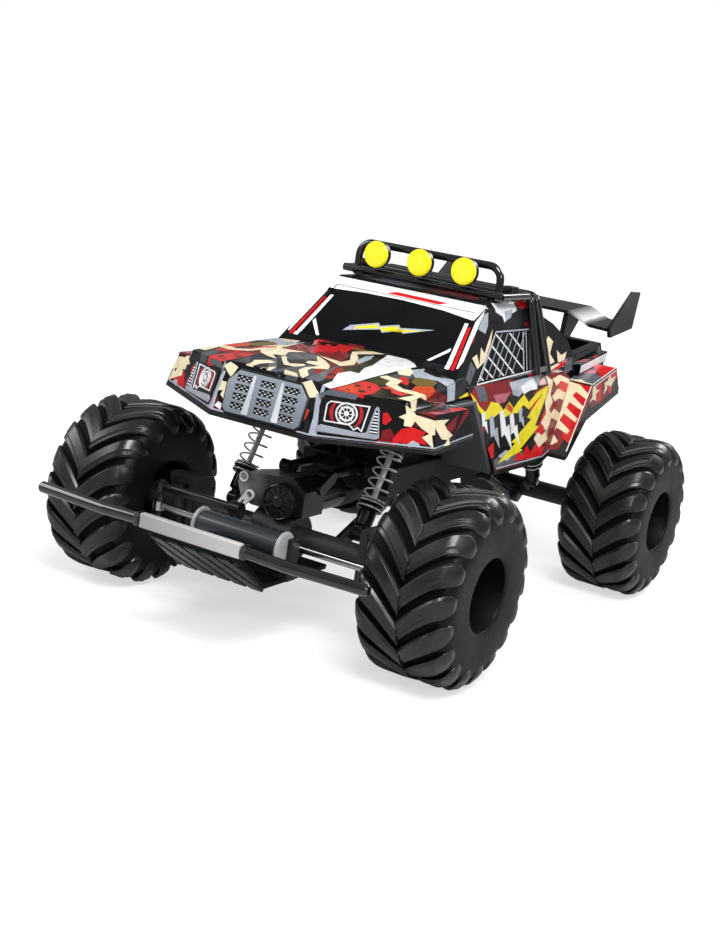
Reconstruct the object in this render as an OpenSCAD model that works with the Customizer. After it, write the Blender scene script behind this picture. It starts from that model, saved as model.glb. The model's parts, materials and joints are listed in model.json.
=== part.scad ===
// Toy monster truck: solid axles on link suspension, four big lugged tyres, steered front
// wheels, a faceted pickup body with a load bed, a roof rack with lamps, and a rear wing.
// Every piece is drawn with z = 0 at the axle centres and y = 0 halfway between the axles,
// x to the truck's left and -y to its front, and is then moved home to stand on the ground.

/* [Wheels] */
// Distance between the front and rear axles
wheelbase = 286; // [240:1:345]
// Distance between the middles of the left and right tyres
track = 226; // [220:1:280]
// Outer diameter of a tyre over its lugs
tyre_d = 115; // [96:1:138]
// Width of a tyre
tyre_w = 60; // [50:1:62]
// Diameter of the tyre's seat on the rim
rim_d = 52; // [46:1:56]
// Thickness of the rim's barrel
rim_wall = 2.4; // [1.6:0.1:3]
// Depth of the rim's dish, from the outer lip to the disc
dish_depth = 22; // [14:1:26]
// Diameter of the stub axles
stub_d = 5; // [4:0.5:6]

/* [Steering] */
// Kingpin centre, inboard of the tyre's inner face
kingpin_in = 7; // [6:0.5:12]
// Length of a knuckle's steering arm
arm_len = 21; // [18:1:24]
// Diameter of a kingpin
kingpin_d = 5; // [4:0.5:6]
// Diameter of the ball studs on the steering arms
stud_d = 3.6; // [3:0.2:4]

/* [Axles and suspension] */
// Diameter of the axle tubes
tube_d = 14; // [12:1:16]
// Distance of each damper from the centre line
damper_x = 46; // [42:1:52]
// Outer diameter of the coil springs
spring_d = 15; // [13:0.5:18]
// Distance of the lower links from the centre line
lower_link_x = 28; // [24:1:29]
// Diameter of the link rods
link_d = 5.6; // [4:0.2:6]

/* [Chassis] */
// Width of the chassis plate
chassis_w = 66; // [60:1:72]
// Height of the chassis side rails above the plate
rail_h = 14; // [10:1:18]
// Thickness of the chassis plate and of its rails
chassis_t = 4; // [3:0.5:5]

/* [Front end] */
// Width of the skid plate and of the bumper's middle plate
bumper_plate_w = 69; // [60:1:80]
// Overall width of the bumper tube
bumper_w = 226; // [190:1:250]
// Diameter of the bumper tube
bumper_d = 7; // [5:0.5:8]
// Diameter of the winch drum
drum_d = 17; // [12:1:18]

/* [Body] */
// Wall of the moulded body
body_t = 2.4; // [1.6:0.1:3]
// Width of the flat nose
nose_w = 70; // [62:1:78]
// Overall width of the front flares
front_flare_w = 192; // [186:1:206]
// Overall width of the rear flares
rear_flare_w = 176; // [166:1:200]
// Width of the body across the door sills
sill_w = 150; // [146:1:158]
// Width of the cab at the belt line
belt_w = 134; // [128:1:140]
// Width of the roof at its edges
roof_w = 114; // [106:1:118]
// Thickness of the window panes
pane_t = 1.2; // [0.8:0.1:1.6]

/* [Roof and wing] */
// Diameter of the rack, hoop and roll bar tubes
rack_d = 5.2; // [4:0.2:6]
// Diameter of a roof lamp
lamp_d = 18.4; // [14:0.2:20]
// Distance between neighbouring lamps
lamp_step = 32.8; // [26:0.2:36]
// Width of the rear wing over its end plates
wing_w = 156; // [130:1:170]

/* [Hidden] */

$fn = 64;
fit = 0.05;        // radial clearance of a turning pin in its bore
seat = 0.2;        // clearance between a piece and the seat that holds it
eps = 0.01;        // overlap that makes two solids of one piece join

// Places along the truck, measured back from the front axle or from the rear axle
function yf(d) = d - wheelbase / 2;
function yr(d) = d + wheelbase / 2;

hub_x = track / 2;
tyre_r = tyre_d / 2;
rim_r = rim_d / 2;
half_tyre = tyre_w / 2;
kingpin_x = hub_x - half_tyre - kingpin_in;
steer_y = yf(-arm_len);

// Outlines. unit() and left() work on plane vectors, and inset() moves a counter-clockwise
// outline inwards by d with sharp corners.
function unit(v) = v / norm(v);
function left(v) = [-v[1], v[0]];
function inset(p, d) = let (n = len(p)) [for (i = [0:n - 1]) let (
  a = unit(p[i] - p[(i + n - 1) % n]), b = unit(p[(i + 1) % n] - p[i]))
  p[i] + (left(a) + left(b)) * d / (1 + a * b)];
// An outline from its right half, which runs upwards, and the mirror image of that half
function mirrored(p) = concat(p, [for (i = [len(p) - 1:-1:0]) [-p[i][0], p[i][1]]]);

// A prism whose (y, z) outline runs across the truck from x0 to x1
module across(p, x0, x1)
  translate([x0, 0, 0]) rotate([90, 0, 90]) linear_extrude(x1 - x0) polygon(p);

// A prism whose (x, z) outline runs along the truck from y0 to y1
module along(p, y0, y1)
  translate([0, y1, 0]) rotate([90, 0, 0]) linear_extrude(y1 - y0) polygon(p);

module block(x0, x1, y0, y1, z0, z1)
  translate([x0, y0, z0]) cube([x1 - x0, y1 - y0, z1 - z0]);

module flipped(s) mirror([s < 0 ? 1 : 0, 0, 0]) children();

// Round bars: from point a to point b, or along x at (y, z)
module bar(a, b, d) {
  v = b - a;
  translate(a) rotate([0, acos(v[2] / norm(v)), atan2(v[1], v[0])])
    cylinder(d = d, h = norm(v));
}

module bar_x(x0, x1, y, z, d)
  translate([x0, y, z]) rotate([0, 90, 0]) cylinder(d = d, h = x1 - x0);

module bar_y(x, y0, y1, z, d)
  translate([x, y0, z]) rotate([-90, 0, 0]) cylinder(d = d, h = y1 - y0);

// A many-sided tube of diameter d along a bent path that lies in one plane, mitred at its bends
module tube(path, d, sides = 16) {
  last = len(path) - 1;
  across_path = unit(cross(path[1] - path[0], path[2] - path[1]));
  rings = [for (i = [0:last]) let (
      a = unit(path[max(i, 1)] - path[max(i, 1) - 1]),
      b = unit(path[min(i, last - 1) + 1] - path[min(i, last - 1)]),
      t = unit(a + b), side = cross(across_path, t) / (t * a))
    for (k = [0:sides - 1]) let (w = 360 / sides * (k + 0.5))
      path[i] + d / 2 * (cos(w) * across_path + sin(w) * side)];
  polyhedron(points = rings, convexity = 6, faces = concat(
    [[for (k = [sides - 1:-1:0]) k]], [[for (k = [0:sides - 1]) last * sides + k]],
    [for (i = [0:last - 1], k = [0:sides - 1]) let (n = (k + 1) % sides)
      [i * sides + k, i * sides + n, (i + 1) * sides + n, (i + 1) * sides + k]]));
}

// A closed skin between two rings of as many points. Ring a runs counter-clockwise when it is
// seen from ring b.
module skin(a, b) {
  n = len(a);
  polyhedron(points = concat(a, b), convexity = 4, faces = concat(
    [[for (i = [0:n - 1]) i]], [[for (i = [0:n - 1]) 2 * n - 1 - i]],
    [for (i = [0:n - 1]) [i, n + i, n + (i + 1) % n, (i + 1) % n]]));
}

// ---- Wheels -------------------------------------------------------------------------------

bead_x = half_tyre - 5.5;       // where the tyre's bead meets the rim's lip
lip_x = half_tyre - 3.4;        // outer face of the rim's lip
lip_r = rim_r + 1.8;
hub_in = 12;                    // inner end of the hub boss, from the wheel's middle
disc_x = lip_x - dish_depth;
disc_t = 3.6;
hub_d = 15;
nut_d = 11;                     // across the corners of the hub nut
hole_d = 9;                     // lightening holes in the disc

module tyre(side, y) color([0.10, 0.11, 0.11]) {
  half = [[rim_r, bead_x], [lip_r + seat, bead_x], [lip_r + 1.6, half_tyre - 2.6],
    [lip_r + 8, half_tyre], [tyre_r - 10, half_tyre - 0.6], [tyre_r - 4, half_tyre - 3.4],
    [tyre_r, half_tyre - 9]];
  outline = concat(half, [for (i = [len(half) - 1:-1:0]) [half[i][0], -half[i][1]]]);
  translate([side * hub_x, y, 0]) rotate([0, 90, 0]) rotate_extrude($fn = 96) polygon(outline);
}

module rim(side, y) color([0.08, 0.08, 0.09])
  translate([side * hub_x, y, 0]) flipped(side) rotate([0, 90, 0]) difference() {
    union() {
      difference() {
        union() {
          translate([0, 0, -bead_x]) cylinder(r = rim_r - seat, h = 2 * bead_x);
          for (z = [bead_x + seat, -lip_x])
            translate([0, 0, z]) cylinder(r = lip_r, h = lip_x - bead_x - seat);
          translate([0, 0, -lip_x]) cylinder(r = rim_r - seat, h = 2 * lip_x);
        }
        translate([0, 0, -lip_x - 1]) cylinder(r = rim_r - rim_wall, h = 2 * lip_x + 2);
      }
      translate([0, 0, disc_x - disc_t]) cylinder(r = rim_r - rim_wall + eps, h = disc_t);
      translate([0, 0, -hub_in]) cylinder(d = hub_d, h = hub_in + disc_x);
      translate([0, 0, disc_x - eps]) cylinder(d = nut_d, h = 3, $fn = 6);
    }
    for (i = [0:5]) rotate([0, 0, 60 * i]) translate([rim_r * 0.6, 0, disc_x - disc_t - 1])
      cylinder(d = hole_d, h = disc_t + 2);
    translate([0, 0, -hub_in - 1]) cylinder(r = stub_d / 2 + fit, h = hub_in + disc_x + 2.5);
  }

// ---- Steering -----------------------------------------------------------------------------

carrier_end = hub_x - hub_in - 0.6;   // outer end of the hub carriers, just short of the boss
carrier_d = 17;
ear_in = 14;                          // half the gap between a yoke's ears
ear_t = 4.5;
knuckle_h = 2 * ear_in - 0.8;
arm_z = -7;                           // top of the steering arms
tie_z = 0.5;
drag_z = 12.5;
rod_end_h = 5.6;
rod_end_d = 8;
tie_d = 4.4;
drag_inner_x = 20;

module knuckle(side, stud_top) color([0.13, 0.13, 0.14]) flipped(side) {
  stub_end = hub_x + disc_x;
  translate([kingpin_x, yf(0), -knuckle_h / 2]) cylinder(d = 14, h = knuckle_h);
  translate([kingpin_x, yf(0), -ear_in - ear_t])
    cylinder(d = kingpin_d, h = 2 * (ear_in + ear_t));
  bar_x(kingpin_x, carrier_end, yf(0), 0, carrier_d);
  bar_x(kingpin_x, stub_end, yf(0), 0, stub_d);
  block(kingpin_x - 3.5, kingpin_x + 3.5, steer_y, yf(0), arm_z - 5, arm_z);
  translate([kingpin_x, steer_y, arm_z - 5]) cylinder(d = rod_end_d, h = 5);
  translate([kingpin_x, steer_y, arm_z - eps]) cylinder(d = stud_d, h = stud_top - arm_z);
}

module rod_end(x, z) difference() {
  union() {
    translate([x, steer_y, z - rod_end_h / 2]) cylinder(d = rod_end_d, h = rod_end_h);
    children();
  }
  translate([x, steer_y, z - rod_end_h]) cylinder(d = stud_d + 2 * fit, h = 2 * rod_end_h);
}

module tie_rod() color([0.62, 0.63, 0.65])
  rod_end(kingpin_x, tie_z) rod_end(-kingpin_x, tie_z)
    bar_x(-kingpin_x + 3, kingpin_x - 3, steer_y, tie_z, tie_d);

// The drag link shares the right arm's stud, and a post joins its inner end to the tie rod
module drag_link() color([0.30, 0.31, 0.33]) {
  rod_end(-kingpin_x, drag_z) bar_x(-kingpin_x + 3, -drag_inner_x, steer_y, drag_z, 5.6);
  difference() {
    union() {
      bar_x(-drag_inner_x - 3, -drag_inner_x + 4, steer_y, drag_z, 9);
      block(-drag_inner_x - 3, -drag_inner_x + 4, steer_y - 3.6, steer_y + 3.6,
        tie_z - 3.6, drag_z);
    }
    bar_x(-drag_inner_x - 4, -drag_inner_x + 5, steer_y, tie_z, tie_d + 2 * fit);
  }
}

// ---- Axles --------------------------------------------------------------------------------

case_r = 14;                 // differential case in the middle of each axle
case_w = 28;
skid_z = -14.6;              // top of the skid plate where the case stands on it
link_drop = -7;              // height of the lower links' pivots on the axles
link_back = 10;              // their distance towards the middle of the truck
damper_low = [14.5, 8];      // lower damper eye: towards the middle, and up
damper_high = [44.5, 64];    // upper damper eye
eye_w = 7;
lug_t = 3;

// Everything on an axle is drawn for the front one, and turned round for the rear one
module at_axle(y) translate([0, y, 0]) rotate([0, 0, y > 0 ? 180 : 0]) children();

module axle_core(half) {
  bar_x(-half, half, 0, 0, tube_d);
  bar_x(-case_w / 2, case_w / 2, 0, 0, 2 * case_r);
  block(-10, 10, -10, 10, skid_z, -8);
  for (s = [1, -1]) flipped(s) {
    // lug of the lower link, and lug of the damper
    hull() {
      bar_x(lower_link_x + eye_w / 2, lower_link_x + eye_w / 2 + lug_t, link_back, link_drop, 8);
      bar_x(lower_link_x + eye_w / 2, lower_link_x + eye_w / 2 + lug_t, 0, 0, 8);
    }
    hull() {
      bar_x(damper_x - eye_w / 2 - lug_t, damper_x - eye_w / 2, damper_low[0], damper_low[1], 8);
      bar_x(damper_x - eye_w / 2 - lug_t, damper_x - eye_w / 2, 0, 0, 8);
    }
  }
}

module front_axle_housing() color([0.12, 0.12, 0.13]) at_axle(yf(0)) {
  yoke_x = kingpin_x - 16;
  axle_core(yoke_x + 1);
  for (s = [1, -1]) flipped(s) {
    block(yoke_x, yoke_x + 4.5, -9, 9, -ear_in - ear_t, ear_in + ear_t);
    for (z = [-ear_in - ear_t, ear_in]) difference() {
      union() {
        block(yoke_x, kingpin_x, -8, 8, z, z + ear_t);
        translate([kingpin_x, 0, z]) cylinder(d = 16, h = ear_t);
      }
      translate([kingpin_x, 0, z - 1]) cylinder(r = kingpin_d / 2 + fit, h = ear_t + 2);
    }
  }
}

module rear_axle_housing() color([0.12, 0.12, 0.13]) at_axle(yr(0)) {
  axle_core(carrier_end - 10);
  for (s = [1, -1]) flipped(s) {
    bar_x(carrier_end - 16, carrier_end, 0, 0, carrier_d);
    bar_x(carrier_end - 1, hub_x + disc_x, 0, 0, stub_d);
  }
}

box_z = [case_r + seat, 38];     // gearbox, standing on the differential case
box_y = [-9, 14];
motor_at = [4, 21.5];            // motor's x and z
motor_d = 22;
upper_link_x = 14;
upper_link_z = 36;

// Gear train case with two screw eyes, and ears for the upper links
module gearbox(y) color([0.36, 0.37, 0.39]) at_axle(y) {
  along([[-17, box_z[0]], [19, box_z[0]], [19, 30], [10, 37], [-16, 34], [-28, 31], [-29, 26],
    [-25, 16]], box_y[0], box_y[1]);
  for (p = [[-20.5, 21], [-23.5, 30.5]]) bar_y(p[0], box_y[0] - 2.5, box_y[0] + 1, p[1], 7);
  for (x = [-upper_link_x, upper_link_x]) hull() {
    bar_x(x + eye_w / 2, x + eye_w / 2 + lug_t, box_y[1] + 6, upper_link_z, 7);
    bar_x(x + eye_w / 2, x + eye_w / 2 + lug_t, box_y[1] - 5, upper_link_z - 6, 7);
  }
}

module motor(y) color([0.10, 0.10, 0.11]) at_axle(y) {
  bar_y(motor_at[0], box_y[0] - 4.5, box_y[0], motor_at[1], motor_d);
  bar_y(motor_at[0], box_y[1] + seat, box_y[1] + 34, motor_at[1], motor_d);
}

// ---- Suspension ---------------------------------------------------------------------------

damper_v = damper_high - damper_low;
damper_len = norm(damper_v);
damper_lean = atan2(damper_v[0], damper_v[1]);
perch_low = 22;                  // spring seats, measured up the damper
perch_high = damper_len - 9.5;
perch_t = 2.4;

// Draws along a damper's own axis, for both sides of an axle
module on_dampers(y) at_axle(y) for (s = [1, -1]) flipped(s)
  translate([damper_x, damper_low[0], damper_low[1]]) rotate([-damper_lean, 0, 0]) children();

module dampers(y) color([0.16, 0.16, 0.17]) on_dampers(y) {
  for (z = [0, damper_len]) translate([-eye_w / 2, 0, z]) rotate([0, 90, 0])
    cylinder(d = 8, h = eye_w);
  cylinder(d = eye_w - 2 * fit, h = 6);
  translate([0, 0, 5]) cylinder(d = 11, h = perch_low - 5);
  translate([0, 0, perch_low - 6]) cylinder(d = spring_d + 1.5, h = 3);
  translate([0, 0, perch_low - perch_t]) cylinder(d = spring_d + 1.5, h = perch_t);
  translate([0, 0, perch_low - 1]) cylinder(d = 3.6, h = damper_len - perch_low);
  translate([0, 0, perch_high]) cylinder(d = spring_d, h = perch_t);
}

module springs(y) color([0.80, 0.81, 0.83]) on_dampers(y)
  translate([0, 0, perch_low + seat]) difference() {
    cylinder(d = spring_d, h = perch_high - perch_low - 2 * seat);
    translate([0, 0, -1]) cylinder(d = spring_d - 2.4, h = perch_high - perch_low + 2);
  }

plate_z = [20.5, 20.5 + chassis_t];        // chassis plate
chassis_end = 68;                          // its ends, in from the axles
lower_pivot = [chassis_end - 4, plate_z[0] - 5];
upper_pivot = [chassis_end - 8, upper_link_z];

module link(x, a, b, d) {
  bar([x, a[0], a[1]], [x, b[0], b[1]], d);
  for (p = [a, b]) bar_x(x - eye_w / 2, x + eye_w / 2, p[0], p[1], 7.6);
}

module lower_links(y) color([0.16, 0.16, 0.17]) at_axle(y)
  for (s = [1, -1]) flipped(s) link(lower_link_x, [link_back, link_drop], lower_pivot, link_d);

module upper_links(y) color([0.16, 0.16, 0.17]) at_axle(y)
  for (x = [-upper_link_x, upper_link_x])
    link(x, [box_y[1] + 6, upper_link_z], upper_pivot, link_d);

// ---- Chassis ------------------------------------------------------------------------------

mount_z = [damper_low[1] + damper_len * cos(damper_lean) + 4.4, 73];
leg_x = [17, 21];

module chassis_frame() color([0.14, 0.14, 0.15]) {
  half = chassis_w / 2;
  block(-half, half, yf(chassis_end), yr(-chassis_end), plate_z[0], plate_z[1]);
  for (s = [1, -1]) flipped(s) block(half - chassis_t, half,
    yf(chassis_end), yr(-chassis_end), plate_z[0], plate_z[1] + rail_h);
  for (y = [yf(0), yr(0)]) at_axle(y) {
    // end wall with ears for the upper links, and lugs for the lower links
    block(-half, half, chassis_end, chassis_end + chassis_t, plate_z[0], plate_z[1] + rail_h);
    for (x = [-upper_link_x, upper_link_x])
      block(x + eye_w / 2, x + eye_w / 2 + lug_t, upper_pivot[0] - 3, chassis_end + 1,
        upper_link_z - 4, upper_link_z + 2.5);
    for (s = [1, -1]) flipped(s)
      block(lower_link_x - eye_w / 2 - lug_t, lower_link_x - eye_w / 2,
        lower_pivot[0] - 4, lower_pivot[0] + 8, lower_pivot[1] - 4, plate_z[0] + 1);
    for (s = [1, -1]) flipped(s)
      block(lower_link_x - eye_w / 2 - lug_t, lower_link_x - eye_w / 2,
        chassis_end, chassis_end + 4, plate_z[0] - 1, plate_z[1]);
  }
}

module battery_box() color([0.11, 0.11, 0.12])
  block(-24, 24, yf(98), yr(-98), plate_z[1], plate_z[1] + 22);

module damper_mount(y) color([0.14, 0.14, 0.15]) at_axle(y) {
  block(-damper_x - 7, damper_x + 7, damper_high[0] - 8, 96, mount_z[0], mount_z[1]);
  for (s = [1, -1]) flipped(s) {
    block(leg_x[0], leg_x[1], 90, 96, plate_z[1], mount_z[0] + eps);
    block(damper_x - eye_w / 2 - lug_t, damper_x - eye_w / 2,
      damper_high[0] - 4, damper_high[0] + 4, damper_high[1] - 4, mount_z[0] + eps);
  }
}

post_y = 62;
post_x = 24;

module body_posts() color([0.16, 0.16, 0.17]) for (s = [1, -1]) flipped(s) {
  translate([post_x, yf(post_y), mount_z[1]])
    cylinder(d = 7, h = hood_z(yf(post_y)) - body_t - mount_z[1] - 2 * seat);
  translate([post_x, yr(-post_y), mount_z[1]])
    cylinder(d = 7, h = bed_z - body_t - mount_z[1]);
}

// ---- Front end ----------------------------------------------------------------------------

skid_t = 3.2;
bumper_y = -91.8;            // bumper tube, ahead of the front axle
bumper_z = 12;
drum_y = -41;
drum_z = 4.5;
drum_half = 29;
flange_d = drum_d + 3;

module skid_plate() color([0.10, 0.11, 0.12]) intersection() {
  across([[yf(-57), skid_z - skid_t], [yf(12), skid_z - skid_t], [yf(12), skid_z],
    [yf(-55.5), skid_z], [yf(-86.5), 7.5], [yf(-86.5), 11], [yf(-90), 11], [yf(-90), 6]],
    -bumper_plate_w, bumper_plate_w);
  along(mirrored([[bumper_plate_w / 2 - 6, skid_z - skid_t - 1], [bumper_plate_w / 2 - 2, 12]]),
    yf(-100), yf(20));
}

module bumper_plate() color([0.62, 0.61, 0.60])
  block(-bumper_plate_w / 2, bumper_plate_w / 2, yf(bumper_y - 2.8), yf(-90), 8.5, 17);

module bumper_tubes() color([0.12, 0.12, 0.13]) for (s = [1, -1]) flipped(s)
  tube([[bumper_plate_w / 2 + seat, yf(bumper_y), bumper_z + 0.8], [62, yf(bumper_y), bumper_z],
    [bumper_w / 2, yf(bumper_y + 3.5), bumper_z]], bumper_d);

module winch_drum() color([0.22, 0.25, 0.29]) {
  bar_x(-drum_half, drum_half, yf(drum_y), drum_z, drum_d);
  for (s = [1, -1]) flipped(s)
    bar_x(drum_half, drum_half + 2.4, yf(drum_y), drum_z, flange_d);
}

module winch_frame() color([0.12, 0.12, 0.13]) {
  foot_z = drum_z - flange_d / 2 - 1.5;
  block(-drum_half - 5.4, drum_half + 5.4, yf(drum_y + 1), yf(drum_y + 9), skid_z, foot_z);
  for (s = [1, -1]) flipped(s) block(drum_half + 2.4, drum_half + 5.4,
    yf(drum_y), yf(drum_y + 9), skid_z, drum_z + 6);
}

// ---- Body ---------------------------------------------------------------------------------

nose_z = 71.5;               // lower edge of the nose, above the axle
nose_lean = 0.26;            // how far the nose and flares lean in, for each unit of height
nose_angle = atan(nose_lean);
low_climb = 0.065;           // climb of the flares' lower edge towards the back
flare_top = 92.5;
hood_rise = 0.06;            // climb of the hood towards the windscreen
bed_z = 92.5;                // floor of the load bed
bed_x = 58;
bed_y = [-78, 19];           // load bed, from the rear axle
ledge_y = -5;                // front of the raised ledge that the wing's struts stand on
ledge_z = bed_z + 3.5;
facet_run = [61, 36];        // each headlight facet, across and back
open_drop = 6;

flare_x = front_flare_w / 2;
function facet_y(x) = -39 + (x - nose_w / 2) * facet_run[1] / facet_run[0];

// Plans at the nose's lower edge: nose with both flares, and hood with its sides
flare_plan = [[-nose_w / 2, yf(-39)], [nose_w / 2, yf(-39)], [flare_x, yf(facet_y(flare_x))],
  [flare_x, yf(48)], [-flare_x, yf(48)], [-flare_x, yf(facet_y(flare_x))]];
hood_plan = [[-nose_w / 2, yf(-39)], [nose_w / 2, yf(-39)], [82, yf(facet_y(82))],
  [82, yf(-2)], [78, yf(51)], [belt_w / 2 + 6, yf(93)], [-belt_w / 2 - 6, yf(93)],
  [-78, yf(51)], [-82, yf(-2)], [-82, yf(facet_y(82))]];

function plan_at(p, z, t) = [for (q = inset(p, t + (z - nose_z) * nose_lean)) [q[0], q[1], z]];

// The same ring on a plane that is at nose_z + drop above the nose's face and climbs backwards
function low_ring(p, drop, t) = let (a = inset(p, t), b = inset(p, t + nose_lean))
  [for (i = [0:len(p) - 1]) let (
    h = (drop + low_climb * (a[i][1] - yf(-39))) / (1 - low_climb * (b[i][1] - a[i][1])))
    [a[i][0] + h * (b[i][0] - a[i][0]), a[i][1] + h * (b[i][1] - a[i][1]), nose_z + h]];

module leaning(p, z0, z1, t) skin(plan_at(p, z0, t), plan_at(p, z1, t));

// Top of the hood's raised middle at y, and the section that caps the hood there
function hood_z(y) = 101.3 + hood_rise * (y - yf(-32));
function hood_ring(y, k, t) = let (s = hood_z(y) - t - 2.6, m = hood_z(y) - t)
  [for (q = [[-110, 40], [-110, s - 5.6], [-k - 6, s], [-k, m],
    [k, m], [k + 6, s], [110, s - 5.6], [110, 40]]) [q[0], y, q[1]]];

module hood_cap(t) skin(hood_ring(yf(-70), 28, t), hood_ring(yf(120), 41, t));

module nose_solid(t, drop) {
  skin(low_ring(flare_plan, drop, t), plan_at(flare_plan, flare_top - t, t));
  intersection() {
    leaning(hood_plan, flare_top - t, nose_z + 42, t);
    hood_cap(t);
  }
}

// Doors, bed sides and tail: side view, and section across the truck
belt_z = [97.5, 101];
main_side = [[yf(131), 40.5], [yr(-77), 40.5], [yr(-66), 44.5], [yr(-42), 69.5],
  [yr(15), 85.5], [yr(33), 91.5], [yr(25), 115.5], [yr(-88), belt_z[1]],
  [yf(84), belt_z[0]]];
main_section = mirrored([[sill_w / 2, 40.5], [sill_w / 2 - 5, 92], [belt_w / 2 - 0.5, 101],
  [belt_w / 2 - 4, 120]]);

module main_solid(t) intersection() {
  across(inset(main_side, t), -100, 100);
  along(inset(main_section, t), yf(60), yr(60));
}

rear_flare = [[yr(-68), 44], [yr(-42), 69.5], [yr(15), 85.5], [yr(2), 102.5], [yr(-40), 92.5]];

module rear_flares(t) for (s = [1, -1]) flipped(s)
  across(inset(rear_flare, t), 58 + t, rear_flare_w / 2 - t);

module opened() {
  children();
  translate([0, 0, -open_drop]) children();
}

module bed_box(t) block(-bed_x - t, bed_x + t, yr(bed_y[0] - t), yr(bed_y[1] + t), bed_z - t, 130);

module body_outer() {
  nose_solid(0, 0);
  main_solid(0);
  rear_flares(0);
}

module body_shell() color([0.55, 0.08, 0.08]) {
  difference() {
    body_outer();
    difference() {
      union() {
        nose_solid(body_t, -12);
        opened() main_solid(body_t);
        opened() rear_flares(body_t);
        // clear way under the hood between the flares and the doors
        block(-63, 63, yf(30), yf(100), nose_z - 12, 95);
      }
      bed_box(body_t);
    }
    bed_box(0);
  }
  // ledge at the back of the load bed
  block(-bed_x - 1, bed_x + 1, yr(ledge_y), yr(bed_y[1] + 1), bed_z - 1, ledge_z);
  // raised strip along each bed side
  for (s = [1, -1]) flipped(s) across([[yr(-30.6), 96.5], [yr(17), 103], [yr(19), 111],
    [yr(-30.6), 103.7]], bed_x + 2, 72.5);
}

// ---- Cab ----------------------------------------------------------------------------------

screen_low = [yf(74), 106.2];
screen_high = [yf(116.4), 144.7];
cab_side = [[yf(64.4), belt_z[0]], [yr(-31), belt_z[0]], [yr(-31), 112.5], [yr(-39), 121],
  [yr(-63), 132], [yr(-98), 142.5], [yr(-107), 147.6], [yf(119), 147], screen_high, screen_low];
cab_section = mirrored([[belt_w / 2, belt_z[0]], [roof_w / 2, 144], [roof_w / 2 - 5, 149]]);
wall_y = [-92, -89];         // rear wall of the cab, from the rear axle

screen_hole = mirrored([[58.5, 109.5], [52, 141]]);
side_hole = [[yf(101), 99.5], [yr(-93), 103], [yr(-101), 128.5], [yf(130), 128.5]];
rear_hole = mirrored([[44, 110], [39, 133]]);

module cab_solid(t) intersection() {
  across(inset(cab_side, t), -90, 90);
  along(inset(cab_section, t), yf(50), yr(0));
}

module cab_shell() color([0.16, 0.16, 0.17]) difference() {
  cab_solid(0);
  // inside of the cab, open below
  intersection() {
    opened() cab_solid(body_t);
    block(-90, 90, yf(50), yr(wall_y[0]), 80, 160);
  }
  // open space between the side panels behind the rear wall
  along(mirrored([[belt_w / 2 - body_t, 90], [belt_w / 2 - body_t, belt_z[0]],
    [roof_w / 2 - body_t - 1, 152]]), yr(wall_y[1]), yr(0));
  along(screen_hole, yf(60), screen_high[0] + 6);
  across(side_hole, -90, 90);
  along(rear_hole, yr(wall_y[0] - 3), yr(wall_y[1] + 3));
  body_outer();
}

// A pane set into the cab's wall, within the outline of its opening
module pane() intersection() {
  difference() {
    cab_solid(0.5);
    cab_solid(0.5 + pane_t);
  }
  children();
}

module windscreen() color([0.04, 0.04, 0.05])
  pane() along(inset(screen_hole, seat), yf(60), screen_high[0] + 6);

module side_window(side) color([0.08, 0.09, 0.10])
  pane() flipped(side) across(inset(side_hole, seat), 40, 80);

module rear_window() color([0.05, 0.05, 0.06])
  along(inset(rear_hole, seat), yr(wall_y[0] + 0.8), yr(wall_y[0] + 0.8 + pane_t));

// ---- Body trim ----------------------------------------------------------------------------

// Draws on the nose's face, or on a headlight facet: x across, y up the face, z outwards
module on_nose() translate([0, yf(-39), nose_z]) rotate([90 - nose_angle, 0, 0]) children();

module on_facet() translate([nose_w / 2, yf(-39), nose_z])
  rotate([0, 0, atan2(facet_run[1], facet_run[0])]) rotate([90 - nose_angle, 0, 0]) children();

grille_outline = mirrored([[24, 1.2], [26.5, 3.5], [27.2, 19.8], [20.9, 26.6]]);

module grille() color([0.45, 0.49, 0.53]) on_nose() difference() {
  linear_extrude(1.8) polygon(grille_outline);
  for (x = [-16.4, 0, 16.4], row = [0:3])
    translate([x - 5.4, 4 + 5.4 * row, -1]) cube([10.8, 3.7, 4]);
}

lamp_panel = [[3, 4.5], [5, 3], [36, 3], [38.5, 5.5], [36.5, 22.5], [4, 23]];
lens = [[5.5, 9], [27, 8], [28.5, 21.5], [6, 21.5]];

module headlight(side) color([0.60, 0.62, 0.64]) flipped(side) on_facet() difference() {
  linear_extrude(1.6) polygon(lamp_panel);
  translate([0, 0, 0.8]) linear_extrude(2) polygon(inset(lens, 1));
}

trim_h = 3;
trim_side = [[yf(131.4), 37.5], [yr(-76), 37.5], [yr(-64), 42], [yr(-40.5), 66.7],
  [yr(16), 82.5], [yr(15), 85.5], [yr(-42), 69.5], [yr(-66), 44.5], [yr(-77), 40.5],
  [yf(131.4), 40.5]];

// Dark edging under the nose and flares, and under the doors and rear flares
module lower_trim() color([0.20, 0.21, 0.22]) {
  difference() {
    skin(low_ring(flare_plan, -trim_h, 0), low_ring(flare_plan, 0, 0));
    skin(low_ring(flare_plan, -trim_h - 1, 4), low_ring(flare_plan, 1, 4));
    block(-flare_x + 7, flare_x - 7, yf(30), yf(60), nose_z - 10, nose_z + 10);
  }
  for (s = [1, -1]) flipped(s) intersection() {
    across(trim_side, 66, rear_flare_w / 2);
    union() {
      block(66, sill_w / 2, yf(100), yr(60), 30, 100);
      block(66, rear_flare_w / 2, yr(-68), yr(60), 30, 100);
    }
  }
}

// Dark wall behind each front wheel, from the flare's rear edge down the door's front edge
liner_x = [38, 73];
liner_top = flare_top - body_t - seat;
function arch_y(z) = yf(131 - (z - 40.5) * 47 / 57) - seat;

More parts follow.
